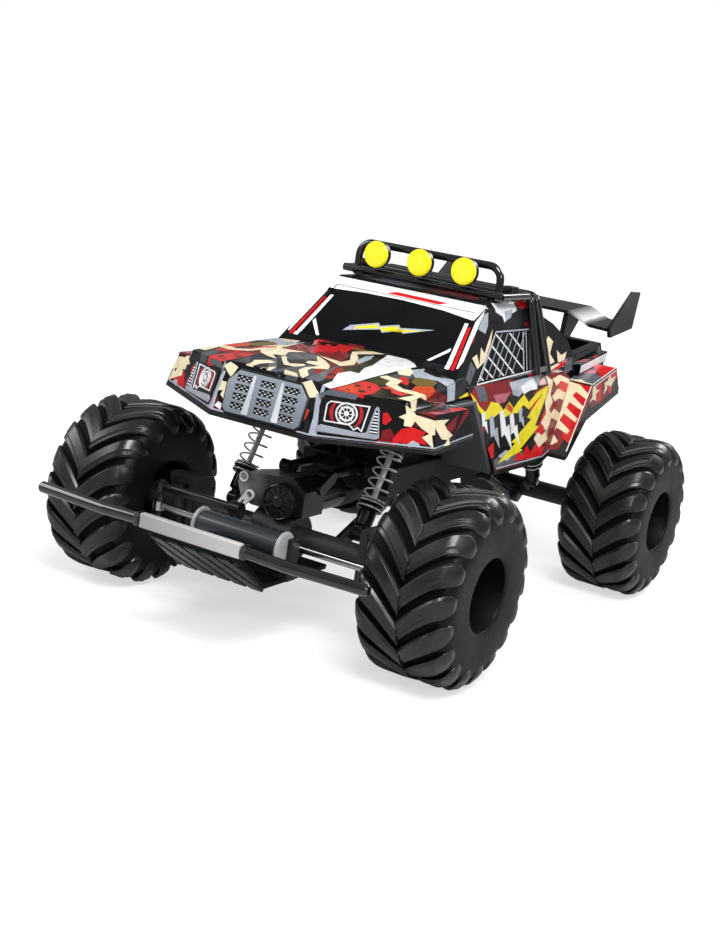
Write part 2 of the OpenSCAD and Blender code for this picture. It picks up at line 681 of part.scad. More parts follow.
module arch_liner(side) color([0.17, 0.18, 0.19]) flipped(side)
  across([[yf(131) - 4, 38.5], [arch_y(40), 40], [arch_y(liner_top), liner_top],
    [yf(50), liner_top], [yf(50), liner_top - 2.6], [arch_y(liner_top) - 3, liner_top - 2.6]],
    liner_x[0], liner_x[1]);

// ---- Roof ---------------------------------------------------------------------------------

rack_z = 151.5;
rack_x = 58.5;
rack_front = 132;            // front bar and hoop, behind the front axle
hoop_back = 138.2;
hoop_x = 53.3;
hoop_z = 169.8;
lamp_z = 164;
roll_top = -108;             // roll bar's top corner, from the rear axle

module roof_rack() color([0.10, 0.10, 0.11]) {
  bar_x(-rack_x - 1.5, rack_x + 1.5, yf(rack_front), rack_z, rack_d);
  bar_x(-rack_x, rack_x, yf(rack_front) + 26, rack_z, rack_d);
  for (s = [1, -1]) flipped(s) {
    bar_y(rack_x, yf(rack_front), yr(roll_top - 4), rack_z, rack_d);
    // feet that stand on the roof
    for (y = [yf(rack_front), yf(rack_front) + 26]) block(44, 50, y - 2, y + 2, 147.6, rack_z);
  }
}

module light_hoop() color([0.10, 0.10, 0.11]) {
  y = yf(hoop_back);
  tube([[hoop_x, y, 147.5], [hoop_x, y, hoop_z - 6], [hoop_x - 6, y, hoop_z],
    [6 - hoop_x, y, hoop_z], [-hoop_x, y, hoop_z - 6], [-hoop_x, y, 147.5]], rack_d);
}

module roof_lamps() color([0.95, 0.85, 0.05]) for (i = [-1:1]) {
  x = i * lamp_step;
  front = yf(122.5);
  bar_y(x, front, front + 7, lamp_z, lamp_d);
  bar_y(x, front + 7 - eps, front + 10, lamp_z, lamp_d - 6);
  // bracket back to the hoop
  block(x - 2.2, x + 2.2, front + 6, yf(hoop_back) - rack_d / 2, lamp_z - 5, hoop_z);
}

// Two hoops side by side that share their cross ties, and pins that rest on the body's sides
module roll_bar() color([0.12, 0.12, 0.13]) {
  foot_z = 100;
  foot_x = 70.4;
  foot_y = [-101.5, -84.5];
  for (i = [0, 1]) {
    top_y = yr(roll_top + 9 * i);
    tube([[foot_x, yr(foot_y[i]), foot_z], [rack_x, top_y, rack_z], [-rack_x, top_y, rack_z],
      [-foot_x, yr(foot_y[i]), foot_z]], rack_d + i);
    for (s = [1, -1]) flipped(s) bar_x(68.4, foot_x, yr(foot_y[i]), foot_z + 0.5, 4);
  }
  for (s = [1, -1]) flipped(s) {
    block(rack_x - 2, rack_x + 2, yr(roll_top), yr(roll_top + 9), rack_z - 1.5, rack_z + 1.5);
    block(foot_x - 2, foot_x + 1, yr(foot_y[0]), yr(foot_y[1]), foot_z + 2, foot_z + 6);
  }
}

// ---- Wing ---------------------------------------------------------------------------------

blade_t = 2.4;
blade_y = [4, 44];           // from the rear axle
blade_climb = 3 / 40;        // climb of the blade towards the back
plate_x = wing_w / 2 - 3;
blade_mid = 136.3;           // top of the blade's front edge in the middle, and over its dips
blade_low = 129.6;
strut_x = 40;

function blade_z(d) = blade_mid + (d - blade_y[0]) * blade_climb;

module wing_blade() color([0.12, 0.12, 0.13]) {
  half = [[44, blade_mid], [60, blade_low], [plate_x, blade_low - 0.6]];
  top = concat([for (i = [2:-1:0]) [-half[i][0], half[i][1]]], half);
  run = [0, blade_y[1] - blade_y[0], blade_z(blade_y[1]) - blade_mid];
  for (i = [1:5]) let (a = top[i - 1], b = top[i], down = [0, blade_t],
      front = [for (p = [a - down, b - down, b, a]) [p[0], yr(blade_y[0]), p[1]]])
    skin(front, [for (p = front) p + run]);
}

module wing_end_plates() color([0.12, 0.12, 0.13]) for (s = [1, -1]) flipped(s)
  across([[yr(5), 122.5], [yr(47.5), 128], [yr(52), 155.6], [yr(37), 156], [yr(1), 130]],
    plate_x, wing_w / 2);

module wing_struts() color([0.10, 0.10, 0.11]) for (s = [1, -1]) flipped(s)
  across([[yr(-2), ledge_z], [yr(16), ledge_z], [yr(18), 117], [yr(38), blade_z(38) - blade_t],
    [yr(6), blade_z(6) - blade_t], [yr(4), 117]], strut_x - 2, strut_x + 2);

// ---- Assembly -----------------------------------------------------------------------------

// Centres the truck between the bumper's front and the rear tyres' back, on the ground
home_y = (-yf(bumper_y - bumper_d / 2) - yr(tyre_r)) / 2;

module home() translate([0, home_y, tyre_r]) children();

home() tyre(1, yf(0));  // front_left_tyre
home() tyre(-1, yf(0));  // front_right_tyre
home() tyre(1, yr(0));  // rear_left_tyre
home() tyre(-1, yr(0));  // rear_right_tyre
home() rim(1, yf(0));  // front_left_rim
home() rim(-1, yf(0));  // front_right_rim
home() rim(1, yr(0));  // rear_left_rim
home() rim(-1, yr(0));  // rear_right_rim
home() knuckle(1, tie_z + 4);  // left_knuckle
home() knuckle(-1, drag_z + 4);  // right_knuckle
home() tie_rod();
home() drag_link();
home() front_axle_housing();
home() rear_axle_housing();
home() gearbox(yf(0));  // front_gearbox
home() gearbox(yr(0));  // rear_gearbox
home() motor(yf(0));  // front_motor
home() motor(yr(0));  // rear_motor
home() dampers(yf(0));  // front_dampers
home() dampers(yr(0));  // rear_dampers
home() springs(yf(0));  // front_springs
home() springs(yr(0));  // rear_springs
home() lower_links(yf(0));  // front_lower_links
home() lower_links(yr(0));  // rear_lower_links
home() upper_links(yf(0));  // front_upper_links
home() upper_links(yr(0));  // rear_upper_links
home() chassis_frame();
home() battery_box();
home() damper_mount(yf(0));  // front_damper_mount
home() damper_mount(yr(0));  // rear_damper_mount
home() body_posts();
home() skid_plate();
home() winch_drum();
home() winch_frame();
home() bumper_plate();
home() bumper_tubes();
home() body_shell();
home() cab_shell();
home() windscreen();
home() side_window(1);  // left_side_window
home() side_window(-1);  // right_side_window
home() rear_window();
home() grille();
home() headlight(1);  // left_headlight
home() headlight(-1);  // right_headlight
home() lower_trim();
home() arch_liner(1);  // left_arch_liner
home() arch_liner(-1);  // right_arch_liner
home() roof_rack();
home() light_hoop();
home() roof_lamps();
home() roll_bar();
home() wing_blade();
home() wing_end_plates();
home() wing_struts();
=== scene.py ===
"""Looks of a toy monster truck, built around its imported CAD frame. Everything is in metres in
the CAD's own frame: +Z up, -Y to the truck's front, +X to its left."""
import json
import math
import bmesh
import bpy
from mathutils import Matrix, Vector
from mathutils.geometry import tessellate_polygon


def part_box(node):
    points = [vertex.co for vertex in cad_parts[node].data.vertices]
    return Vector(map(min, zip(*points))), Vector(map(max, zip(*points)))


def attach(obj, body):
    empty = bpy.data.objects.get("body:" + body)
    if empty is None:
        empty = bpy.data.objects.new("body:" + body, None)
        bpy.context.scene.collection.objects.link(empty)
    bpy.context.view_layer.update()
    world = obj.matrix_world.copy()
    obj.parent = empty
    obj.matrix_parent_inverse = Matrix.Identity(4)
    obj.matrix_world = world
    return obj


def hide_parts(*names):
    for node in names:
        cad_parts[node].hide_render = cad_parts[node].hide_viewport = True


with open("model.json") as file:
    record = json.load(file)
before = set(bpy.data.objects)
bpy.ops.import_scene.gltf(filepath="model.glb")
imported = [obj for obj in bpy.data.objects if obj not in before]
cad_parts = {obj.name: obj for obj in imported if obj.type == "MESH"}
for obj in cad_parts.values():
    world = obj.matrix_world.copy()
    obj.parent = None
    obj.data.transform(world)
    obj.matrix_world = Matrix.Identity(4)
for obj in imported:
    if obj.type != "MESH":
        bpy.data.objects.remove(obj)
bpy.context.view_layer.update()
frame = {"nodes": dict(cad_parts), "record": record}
BODY_OF = {n: b for b, ns in frame["record"]["behaviour"]["bodies"].items() for n in ns}
MM = 0.001
GLOSSY_SHARE = 0.12                          # how much of the white background gloss reflects
LIGHT_AIM = Vector((0, 0, 0.09))
X, Z = Vector((1, 0, 0)), Vector((0, 0, 1))


def middle(node):
    lo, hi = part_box(node)
    return (lo + hi) / 2


HUB = middle("front_left_tyre")              # middle of the front left wheel
FRONT, REAR = HUB.y, middle("rear_left_tyre").y
AXLE = HUB.z
SIDES = (("left", 1), ("right", -1))


def at(x, d, z):
    """A point from millimetres: x to the left, d back from the front axle, z above the axles."""
    return Vector((x * MM, FRONT + d * MM, AXLE + z * MM))


# ---- Camera, light and floor ---------------------------------------------------------------

CAMERA_FROM = (0.4541, -0.8809, 0.2958)      # from the floor midway between the axles
CAMERA_TURN = (-28.85, -12.34, 8.64)         # yaw, pitch and roll in degrees
LENS = 57.51


def camera():
    data = bpy.data.cameras.new("camera")
    cam = bpy.data.objects.new("camera", data)
    bpy.context.scene.collection.objects.link(cam)
    yaw, pitch, roll = (math.radians(a) for a in CAMERA_TURN)
    ahead = Vector((math.sin(yaw) * math.cos(pitch), math.cos(yaw) * math.cos(pitch),
                    math.sin(pitch)))
    right = ahead.cross(Z).normalized()
    up = right.cross(ahead)
    across = math.cos(roll) * right + math.sin(roll) * up
    upright = math.cos(roll) * up - math.sin(roll) * right
    turn = Matrix((across, upright, -ahead)).transposed().to_4x4()
    midway = Vector((0, (FRONT + REAR) / 2, 0))
    cam.matrix_world = Matrix.Translation(midway + Vector(CAMERA_FROM)) @ turn
    data.lens = LENS
    data.sensor_width = 36
    data.clip_start, data.clip_end = 0.05, 50
    bpy.context.scene.camera = cam


def area_light(name, place, size, power):
    """A rectangular lamp that points at the truck's middle."""
    data = bpy.data.lights.new(name, "AREA")
    data.shape = "RECTANGLE"
    data.size, data.size_y = size
    data.energy = power
    lamp = bpy.data.objects.new(name, data)
    lamp.location = place
    lamp.rotation_euler = (LIGHT_AIM - Vector(place)).to_track_quat("-Z", "Y").to_euler()
    bpy.context.scene.collection.objects.link(lamp)


def seen_share(tree):
    """How much of the white background a ray sees: all of it for the camera and through glass,
    part of it in reflections, so that gloss and metal show it and black plastic stays black."""
    rays = add_node(tree, "LightPath").outputs
    share = add_node(tree, "Math", {"operation": "MULTIPLY"}, i0=rays["Is Glossy Ray"],
                     i1=GLOSSY_SHARE)
    for ray in ("Is Camera Ray", "Is Transmission Ray"):
        share = add_node(tree, "Math", {"operation": "ADD", "use_clamp": True}, i0=rays[ray],
                         i1=share.outputs[0])
    return share.outputs[0]


def background():
    """A dim, cool light all around, and white where the background itself is seen."""
    world = bpy.data.worlds.new("studio")
    bpy.context.scene.world = world
    world.use_nodes = True
    tree = world.node_tree
    tree.nodes.clear()
    dim = add_node(tree, "Background", Color=(0.92, 0.96, 1, 1), Strength=0.18)
    white = add_node(tree, "Background", Color=(1, 1, 1, 1), Strength=1)
    pick = add_node(tree, "MixShader", i0=seen_share(tree), i1=dim.outputs[0],
                    i2=white.outputs[0])
    add_node(tree, "OutputWorld", Surface=pick.outputs[0])


def studio_lights():
    area_light("key", (0.55, -0.75, 1.25), (0.7, 0.5), 18)
    area_light("fill", (-1.1, -0.6, 0.8), (0.8, 0.8), 9)
    area_light("rim", (0.5, 1.2, 1.0), (1.0, 0.4), 13)
    area_light("side", (1.2, -0.7, 0.75), (0.8, 0.3), 4.2)


def floor():
    """A plain floor that glows towards white away from the truck, and keeps its shadow."""
    f = Finish("floor", (0.5, 0.5, 0.5), rough=0.9, specular=0)
    reach = f.node("VectorMath", "Value", {"operation": "LENGTH"}, i0=f.where)
    far = f.node("MapRange", Value=reach, From_Min=0.3, From_Max=1.6, To_Min=0.62, To_Max=1)
    f.set("Emission Color", (1, 1, 1, 1))
    f.set("Emission Strength", f.math("MULTIPLY", seen_share(f.tree), far))
    half = 30
    made = mesh_object("floor", [(-half, -half, 0), (half, -half, 0), (half, half, 0),
                                 (-half, half, 0)], [(0, 1, 2, 3)])
    made.data.materials.append(f.mat)


# ---- Materials -----------------------------------------------------------------------------

def add_node(tree, kind, settings=None, **inputs):
    """A shader node with its settings. Its inputs are set or linked by name, or by number as i0."""
    made = tree.nodes.new("ShaderNode" + kind)
    for key, value in (settings or {}).items():
        setattr(made, key, value)
    for key, value in inputs.items():
        numbered = key[0] == "i" and key[1:].isdigit()
        spot = made.inputs[int(key[1:]) if numbered else key.replace("_", " ")]
        if isinstance(value, bpy.types.NodeSocket):
            tree.links.new(value, spot)
        else:
            spot.default_value = value
    return made


class Finish:
    """A node material, with short calls for the textures that feed it."""

    def __init__(self, name, colour, rough=0.5, metal=0.0, coat=0.0, specular=0.5, coat_rough=0.05):
        self.mat = bpy.data.materials.new(name)
        self.mat.use_nodes = True
        self.tree = self.mat.node_tree
        self.bsdf = self.tree.nodes["Principled BSDF"]
        self.set("Base Color", (*colour, 1))
        self.set("Roughness", rough)
        self.set("Metallic", metal)
        self.set("Coat Weight", coat)
        self.set("Coat Roughness", coat_rough)
        self.set("Specular IOR Level", specular)
        self.colour = colour
        self.where = self.tree.nodes.new("ShaderNodeTexCoord").outputs["Object"]

    def set(self, socket, value):
        if isinstance(value, bpy.types.NodeSocket):
            self.tree.links.new(value, self.bsdf.inputs[socket])
        else:
            self.bsdf.inputs[socket].default_value = value

    def node(self, kind, out=0, settings=None, **inputs):
        return add_node(self.tree, kind, settings, **inputs).outputs[out]

    def math(self, operation, a, b=0.0, c=0.0):
        return self.node("Math", 0, {"operation": operation}, i0=a, i1=b, i2=c)

    def scaled(self, scale, turn=(0, 0, 0)):
        return self.node("Mapping", Vector=self.where, Scale=scale, Rotation=turn)

    def noise(self, scale, detail=2, rough=0.5, vector=None):
        return self.node("TexNoise", Vector=vector or self.where, Scale=scale, Detail=detail,
                         Roughness=rough)

    def ramp(self, value, stops, steps=False):
        made = self.tree.nodes.new("ShaderNodeValToRGB")
        self.tree.links.new(value, made.inputs[0])
        bar = made.color_ramp
        bar.interpolation = "CONSTANT" if steps else "LINEAR"
        while len(bar.elements) < len(stops):
            bar.elements.new(0.5)
        for element, (place, colour) in zip(bar.elements, stops):
            element.position = place
            element.color = (*colour, 1) if isinstance(colour, tuple) else (colour,) * 3 + (1,)
        return made.outputs[0]

    def mix(self, amount, a, b):
        made = self.tree.nodes.new("ShaderNodeMix")
        made.data_type = "RGBA"
        for spot, value in ((made.inputs[0], amount), (made.inputs[6], a), (made.inputs[7], b)):
            if isinstance(value, bpy.types.NodeSocket):
                self.tree.links.new(value, spot)
            elif isinstance(value, tuple):
                spot.default_value = (*value, 1)
            else:
                spot.default_value = value
        return made.outputs[2]

    def bump(self, height, strength, distance=0.0002):
        self.set("Normal", self.node("Bump", Height=height, Strength=strength, Distance=distance))
        return self

    def mottle(self, amount=0.15, scale=60, rough=0.08):
        """Slight uneven colour and gloss, as handled plastic has."""
        value = self.noise(scale, 4)
        dark = tuple(c * (1 - amount) for c in self.colour)
        light = tuple(min(1, c * (1 + amount) + 0.002) for c in self.colour)
        self.set("Base Color", self.ramp(value, [(0.3, dark), (0.7, light)]))
        level = self.bsdf.inputs["Roughness"].default_value
        self.set("Roughness", self.ramp(value, [(0.3, max(0, level - rough)), (0.7, level + rough)]))
        return self


def rubber():
    f = Finish("rubber", (0.0050, 0.0066, 0.0074), rough=0.31, specular=0.58)
    f.mottle(0.22, 45, 0.07)
    fine = f.noise(2600, 3)
    scuff = f.noise(260, 5, 0.65)
    return f.bump(f.math("MULTIPLY_ADD", fine, 0.35, scuff), 0.25, 0.0002)


def moulded(name, colour, rough=0.38, grain=0.12, coat=0.0):
    f = Finish(name, colour, rough=rough, coat=coat, specular=0.35)
    f.mottle(0.16, 70, 0.06)
    return f.bump(f.noise(1900, 2), grain, 0.0001)


def bright(name, colour, rough=0.22):
    f = Finish(name, colour, rough=rough, metal=1)
    f.mottle(0.08, 120, 0.05)
    return f.bump(f.noise(900, 2, vector=f.scaled((1, 8, 8))), 0.05, 0.00005)


def painted_light_gradient(name, low, high, z0, z1, rough=0.4, coat=0.0, axis=2):
    """Moulded plastic of one colour with painted light and shade: darker at one end than at the
    other, along one axis.
    """
    f = Finish(name, low, rough=rough, coat=coat)
    along = f.node("SeparateXYZ", axis, Vector=f.where)
    wave = f.math("MULTIPLY_ADD", f.noise(40, 3), 0.012, along)
    t = f.node("MapRange", Value=wave, From_Min=z0, From_Max=z1)
    f.set("Base Color", f.ramp(t, [(0, low), (1, high)]))
    return f.bump(f.noise(1700, 2), 0.08, 0.0001)


def splinter_coords(f):
    """Object coordinates broken into tilted shards: each cell of a coarse pattern shifts its own
    piece of the finer one."""
    cells = f.node("TexVoronoi", out="Color", Vector=f.scaled((26, 15, 34), (0.5, 0.3, 0.7)),
                   Scale=1.0, Randomness=1.0)
    return f.node("VectorMath", settings={"operation": "MULTIPLY_ADD"}, i0=cells,
                  i1=(0.030, 0.034, 0.022), i2=f.where)


def camouflage(name, stops):
    """Painted splinters: stops give the share of each colour, and blots break their edges."""
    f = Finish(name, (0.1, 0.02, 0.02), rough=0.32, coat=0.2, coat_rough=0.072, specular=0.15)
    shards = splinter_coords(f)
    big = f.node("TexVoronoi", out="Color", Scale=1.0, Randomness=1.0,
                 Vector=f.node("Mapping", Vector=shards, Scale=(58, 30, 70),
                               Rotation=(0.35, 0.5, 0.9)))
    pick = f.node("SeparateColor", Color=big)
    base = f.ramp(pick, stops, steps=True)
    splash = f.noise(150, 5, 0.75, vector=shards)
    blot = f.ramp(splash, [(0.0, 0.0), (0.60, 0.0), (0.61, 1.0)], steps=True)
    base = f.mix(blot, base, (0.007, 0.007, 0.009))
    f.set("Base Color", base)
    return f.bump(f.noise(420, 2), 0.03, 0.0001)


BLACK, CHARCOAL = (0.003, 0.003, 0.0035), (0.011, 0.012, 0.015)
RED, DEEP_RED = (0.62, 0.012, 0.014), (0.20, 0.010, 0.014)
CREAM, WHITE = (0.88, 0.76, 0.52), (0.86, 0.87, 0.88)


def film(name, colour):
    """Film that lies on the body under the same clear coat: printed colour, and in some outlines
    painted highlights.
    """
    f = Finish(name, colour, rough=0.3, coat=0.2, coat_rough=0.05, specular=0.15)
    return f.mottle(0.10, 160, 0.05)


# ---- Mesh tools ----------------------------------------------------------------------------

def mesh_object(name, points, faces):
    mesh = bpy.data.meshes.new(name)
    mesh.from_pydata([tuple(p) for p in points], [], [tuple(f) for f in faces])
    mesh.validate()
    made = bpy.data.objects.new(name, mesh)
    bpy.context.scene.collection.objects.link(made)
    return made


def finished(made, body, finish, angle=35, bevel=0.0, segments=2):
    """Puts a new piece on its body, with its finish, smooth shading and bevelled edges."""
    mesh = made.data
    for f in finish if isinstance(finish, (list, tuple)) else [finish]:
        mesh.materials.append(f.mat)
    mesh.polygons.foreach_set("use_smooth", [True] * len(mesh.polygons))
    mesh.set_sharp_from_angle(angle=math.radians(angle))
    if bevel:
        mod = made.modifiers.new("edges", "BEVEL")
        mod.width = bevel * MM
        mod.segments = segments
        mod.limit_method = "ANGLE"
        mod.angle_limit = math.radians(28)
        mod.harden_normals = True
    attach(made, body)
    return made


def outwards(mesh):
    work = bmesh.new()
    work.from_mesh(mesh)
    bmesh.ops.recalc_face_normals(work, faces=work.faces)
    work.to_mesh(mesh)
    work.free()


class Builder:
    """Gathers simple closed shapes into one mesh, in millimetres, through a placing matrix."""

    def __init__(self, place=Matrix.Identity(4)):
        self.points, self.faces, self.material = [], [], []
        self.place = place
        self.paint = 0

    def add(self, points, faces):
        start = len(self.points)
        self.points += [self.place @ Vector(p) for p in points]
        flip = self.place.determinant() < 0
        for f in faces:
            f = [start + i for i in f]
            self.faces.append(f[::-1] if flip else f)
            self.material.append(self.paint)

    def loft(self, rings, closed=False, cap=True):
        """Joins rings of as many points. A ring runs counter-clockwise seen from the next one."""
        n = len(rings[0])
        faces = []
        steps = len(rings) if closed else len(rings) - 1
        for i in range(steps):
            a, b = i * n, (i + 1) % len(rings) * n
            faces += [(a + k, a + (k + 1) % n, b + (k + 1) % n, b + k) for k in range(n)]
        if cap and not closed:
            faces.append(tuple(range(n))[::-1])
            faces.append(tuple((len(rings) - 1) * n + k for k in range(n)))
        self.add([p for ring in rings for p in ring], faces)

    def prism(self, outline, z0, z1):
        """A counter-clockwise (x, y) outline between two heights."""
        self.loft([[(x, y, z0) for x, y in outline], [(x, y, z1) for x, y in outline]])

    def box(self, x0, x1, y0, y1, z0, z1):
        self.prism([(x0, y0), (x1, y0), (x1, y1), (x0, y1)], z0, z1)

    def lathe(self, profile, sides=48, closed=False):
        """Turns a profile of (radius, height) points about z. It starts and ends on the axis
        unless it is closed."""
        rings = []
        for r, h in profile:
            rings.append([(r * math.cos(2 * math.pi * k / sides), r * math.sin(
                2 * math.pi * k / sides), h) for k in range(sides)])
        self.loft(rings, closed=closed, cap=not closed)

    def tube(self, path, radius, sides=14):
        """A round tube along a smooth path of points, of one radius or one for each share."""
        path = [Vector(p) for p in path]
        rings, side = [], None
        for i, p in enumerate(path):
            ahead = (path[min(i + 1, len(path) - 1)] - path[max(i - 1, 0)]).normalized()
            if side is None:
                side = ahead.orthogonal().normalized()
            side = (side - ahead * side.dot(ahead)).normalized()
            up = ahead.cross(side)
            r = radius(i / (len(path) - 1)) if callable(radius) else radius
            rings.append([p + r * (math.cos(w) * side + math.sin(w) * up)
                          for w in (2 * math.pi * k / sides for k in range(sides))])
        self.loft(rings)

    def make(self, name):
        made = mesh_object(name, [p * MM for p in self.points], self.faces)
        outwards(made.data)
        if len(made.data.polygons) == len(self.material):
            made.data.polygons.foreach_set("material_index", self.material)
        return made

    def piece(self, name, slot, finish, angle=35, bevel=0.0, segments=2, node=None,
              body="chassis"):
        """The mesh as a finished piece on its body, which may stand for a CAD node."""
        made = finished(self.make(name), body, finish, angle, bevel, segments)
        if node:
            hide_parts(node)


def rounded(path, radius, steps=6):
    """The path with its corners replaced by arcs."""
    path = [Vector(p) for p in path]
    out = [path[0]]
    for a, b, c in zip(path, path[1:], path[2:]):
        u, v = (a - b).normalized(), (c - b).normalized()
        half = u.angle(v) / 2
        back = min(radius / math.tan(half), 0.48 * (a - b).length, 0.48 * (c - b).length)
        r = back * math.tan(half)
        centre = b + (u + v).normalized() * (r / math.sin(half))
        p, q = b + u * back - centre, b + v * back - centre
        turn = p.angle(q)
        for k in range(steps + 1):
            t = k / steps
            out.append(centre + (p * math.sin((1 - t) * turn) + q * math.sin(t * turn)) /
                       math.sin(turn))
    out.append(path[-1])
    return out


def cad_copy(node, finish, bevel=0.5, segments=2, angle=30, name=None):
    """The CAD node's own shape with its edges rounded, which then stands for the node."""
    name = name or node + "_shape"
    work = bmesh.new()
    work.from_mesh(frame["nodes"][node].data)
    work.transform(frame["nodes"][node].matrix_world)
    bmesh.ops.remove_doubles(work, verts=work.verts, dist=2e-6)
    bmesh.ops.dissolve_limit(work, angle_limit=math.radians(1), verts=work.verts,
                             edges=work.edges)
    mesh = bpy.data.meshes.new(name)
    work.to_mesh(mesh)
    work.free()
    made = bpy.data.objects.new(name, mesh)
    bpy.context.scene.collection.objects.link(made)
    finished(made, BODY_OF[node], finish, angle, bevel, segments)
    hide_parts(node)
    return made


def frame_of(origin, across, up):
    """A matrix whose x runs across a face, y up it and z out of it, from millimetres."""
    x = Vector(across).normalized()
    y = (Vector(up) - x * Vector(up).dot(x)).normalized()
    turn = Matrix((x, y, x.cross(y))).transposed().to_4x4()
    return Matrix.Translation(Vector(origin) / MM) @ turn


# ---- Films on the body ---------------------------------------------------------------------

def clip(polygon, a, b):
    """The part of a flat polygon that is left of the line from a to b."""
    out = []
    for p, q in zip(polygon, polygon[1:] + polygon[:1]):
        dp = (b[0] - a[0]) * (p[1] - a[1]) - (b[1] - a[1]) * (p[0] - a[0])
        dq = (b[0] - a[0]) * (q[1] - a[1]) - (b[1] - a[1]) * (q[0] - a[0])
        if dp >= 0:
            out.append(p)
        if dp * dq < 0:
            t = dp / (dp - dq)
            out.append((p[0] + t * (q[0] - p[0]), p[1] + t * (q[1] - p[1])))
    return out


LEAST_FACING = 0.2                           # steeper faces than this take no film
FILM_LIFT, FILM_STEP = 0.05, 0.012           # height of the first film and of each one over it


class Surface:
    """The triangles of a shown piece, to lay flat outlines on."""

    def __init__(self, piece):
        self.triangles = []
        graph = bpy.context.evaluated_depsgraph_get()
        shape = piece.evaluated_get(graph)
        mesh = shape.to_mesh()
        mesh.calc_loop_triangles()
        co = [piece.matrix_world @ v.co for v in mesh.vertices]
        for t in mesh.loop_triangles:
            a, b, c = (co[i] for i in t.vertices)
            n = (b - a).cross(c - a)
            if n.length > 1e-12:
                self.triangles.append((a, b, c, n.normalized()))
        shape.to_mesh_clear()

    def lay(self, outline, towards, plan, lift, where):
        """Points and faces of an outline cast along a direction, on the triangles that where
        picks by their middles. plan turns a point into the outline's own two coordinates in
        millimetres."""
        shapes = []
        for t in tessellate_polygon([[Vector((*p, 0)) for p in outline]]):
            tri = [outline[i] for i in t]
            area = ((tri[1][0] - tri[0][0]) * (tri[2][1] - tri[0][1]) -
                    (tri[2][0] - tri[0][0]) * (tri[1][1] - tri[0][1]))
            if abs(area) > 1e-6:
                shapes.append(tri if area > 0 else tri[::-1])
        points, faces = [], []
        for a, b, c, n in self.triangles:
            if n.dot(towards) < LEAST_FACING or not where((a + b + c) / 3):
                continue
            pa, pb, pc = plan(a), plan(b), plan(c)
            det = (pb[0] - pa[0]) * (pc[1] - pa[1]) - (pc[0] - pa[0]) * (pb[1] - pa[1])
            if abs(det) < 1e-7:
                continue
            corners = [pa, pb, pc] if det > 0 else [pa, pc, pb]
            x0, x1 = min(p[0] for p in corners), max(p[0] for p in corners)
            y0, y1 = min(p[1] for p in corners), max(p[1] for p in corners)
            for tri in shapes:
                if (max(p[0] for p in tri) < x0 or min(p[0] for p in tri) > x1 or
                        max(p[1] for p in tri) < y0 or min(p[1] for p in tri) > y1):
                    continue
                cut = list(tri)
                for p, q in zip(corners, corners[1:] + corners[:1]):
                    cut = clip(cut, p, q)
                    if len(cut) < 3:
                        break
                if len(cut) < 3:
                    continue
                start = len(points)
                for x, y in cut:
                    s = ((x - pa[0]) * (pc[1] - pa[1]) - (pc[0] - pa[0]) * (y - pa[1])) / det
                    t = ((pb[0] - pa[0]) * (y - pa[1]) - (x - pa[0]) * (pb[1] - pa[1])) / det
                    points.append(a + s * (b - a) + t * (c - a) + n * lift * MM)
                order = range(start, len(points))
                faces.append(tuple(order) if det > 0 else tuple(order)[::-1])
        return points, faces


def from_above(p):
    return (p.x / MM, (p.y - FRONT) / MM)


def from_side(p):
    return ((p.y - FRONT) / MM, (p.z - AXLE) / MM)


def from_front(p):
    return (p.x / MM, (p.z - AXLE) / MM)


def film_piece(name, parts, finish):
    """One piece from several (points, faces) lists."""
    points, faces = [], []
    for p, f in parts:
        faces += [tuple(i + len(points) for i in face) for face in f]
        points += p
    made = mesh_object(name, points, faces)
    work = bmesh.new()
    work.from_mesh(made.data)
    bmesh.ops.remove_doubles(work, verts=work.verts, dist=5e-6)
    bmesh.ops.dissolve_degenerate(work, edges=work.edges, dist=2e-6)
    work.to_mesh(made.data)
    work.free()
    return finished(made, "chassis", finish)


def plan_of(place):
    """Turns a point into the first two millimetre coordinates of a placing matrix."""
    back = place.inverted()

    def plan(p):
        q = back @ (p / MM)
        return (q.x, q.y)
    return plan


NOSE_LEAN = 0.26
NOSE_FRONT, NOSE_LOW, NOSE_HALF = -39, 71.5, 35
FACET_RUN = (61, 36)


def nose_face():
    """On the nose: x to the truck's left from its middle, y up the leaning face."""
    return frame_of(at(0, NOSE_FRONT, NOSE_LOW), (1, 0, 0), (0, NOSE_LEAN, 1))


def facet_face():
    """On the left headlight's facet: x outwards and back from the nose's corner, y up."""
    across = Vector((*FACET_RUN, 0)).normalized()
    inward = Vector((-across.y, across.x, 0))
    return frame_of(at(NOSE_HALF, NOSE_FRONT, NOSE_LOW), across, Z + inward * NOSE_LEAN)


SCREEN_LOW, SCREEN_HIGH = (74, 106.2), (116.4, 144.7)


def screen_face():
    """On the windscreen: x to the truck's left, y up the glass."""
    up = Vector((0, SCREEN_HIGH[0] - SCREEN_LOW[0], SCREEN_HIGH[1] - SCREEN_LOW[1]))
    return frame_of(at(0, *SCREEN_LOW), (1, 0, 0), up)


ORANGE, OLIVE = (0.62, 0.060, 0.012), (0.16, 0.115, 0.022)
YELLOW, SILVER, PINK = (0.86, 0.72, 0.02), (0.42, 0.46, 0.53), (0.48, 0.13, 0.17)
COLOURS = {"black": BLACK, "charcoal": (0.028, 0.030, 0.034), "deep_red": DEEP_RED, "red": RED,
           "orange": ORANGE, "olive": OLIVE, "grey": (0.11, 0.12, 0.14), "silver": SILVER,
           "pink": PINK, "white": WHITE, "cream": CREAM, "yellow": YELLOW}


def strip(a, b, wide):
    """A straight band between two points of a plan."""
    dx, dy = b[0] - a[0], b[1] - a[1]
    long = math.hypot(dx, dy)
    nx, ny = -dy / long * wide / 2, dx / long * wide / 2
    return [(a[0] - nx, a[1] - ny), (b[0] - nx, b[1] - ny), (b[0] + nx, b[1] + ny),
            (a[0] + nx, a[1] + ny)]


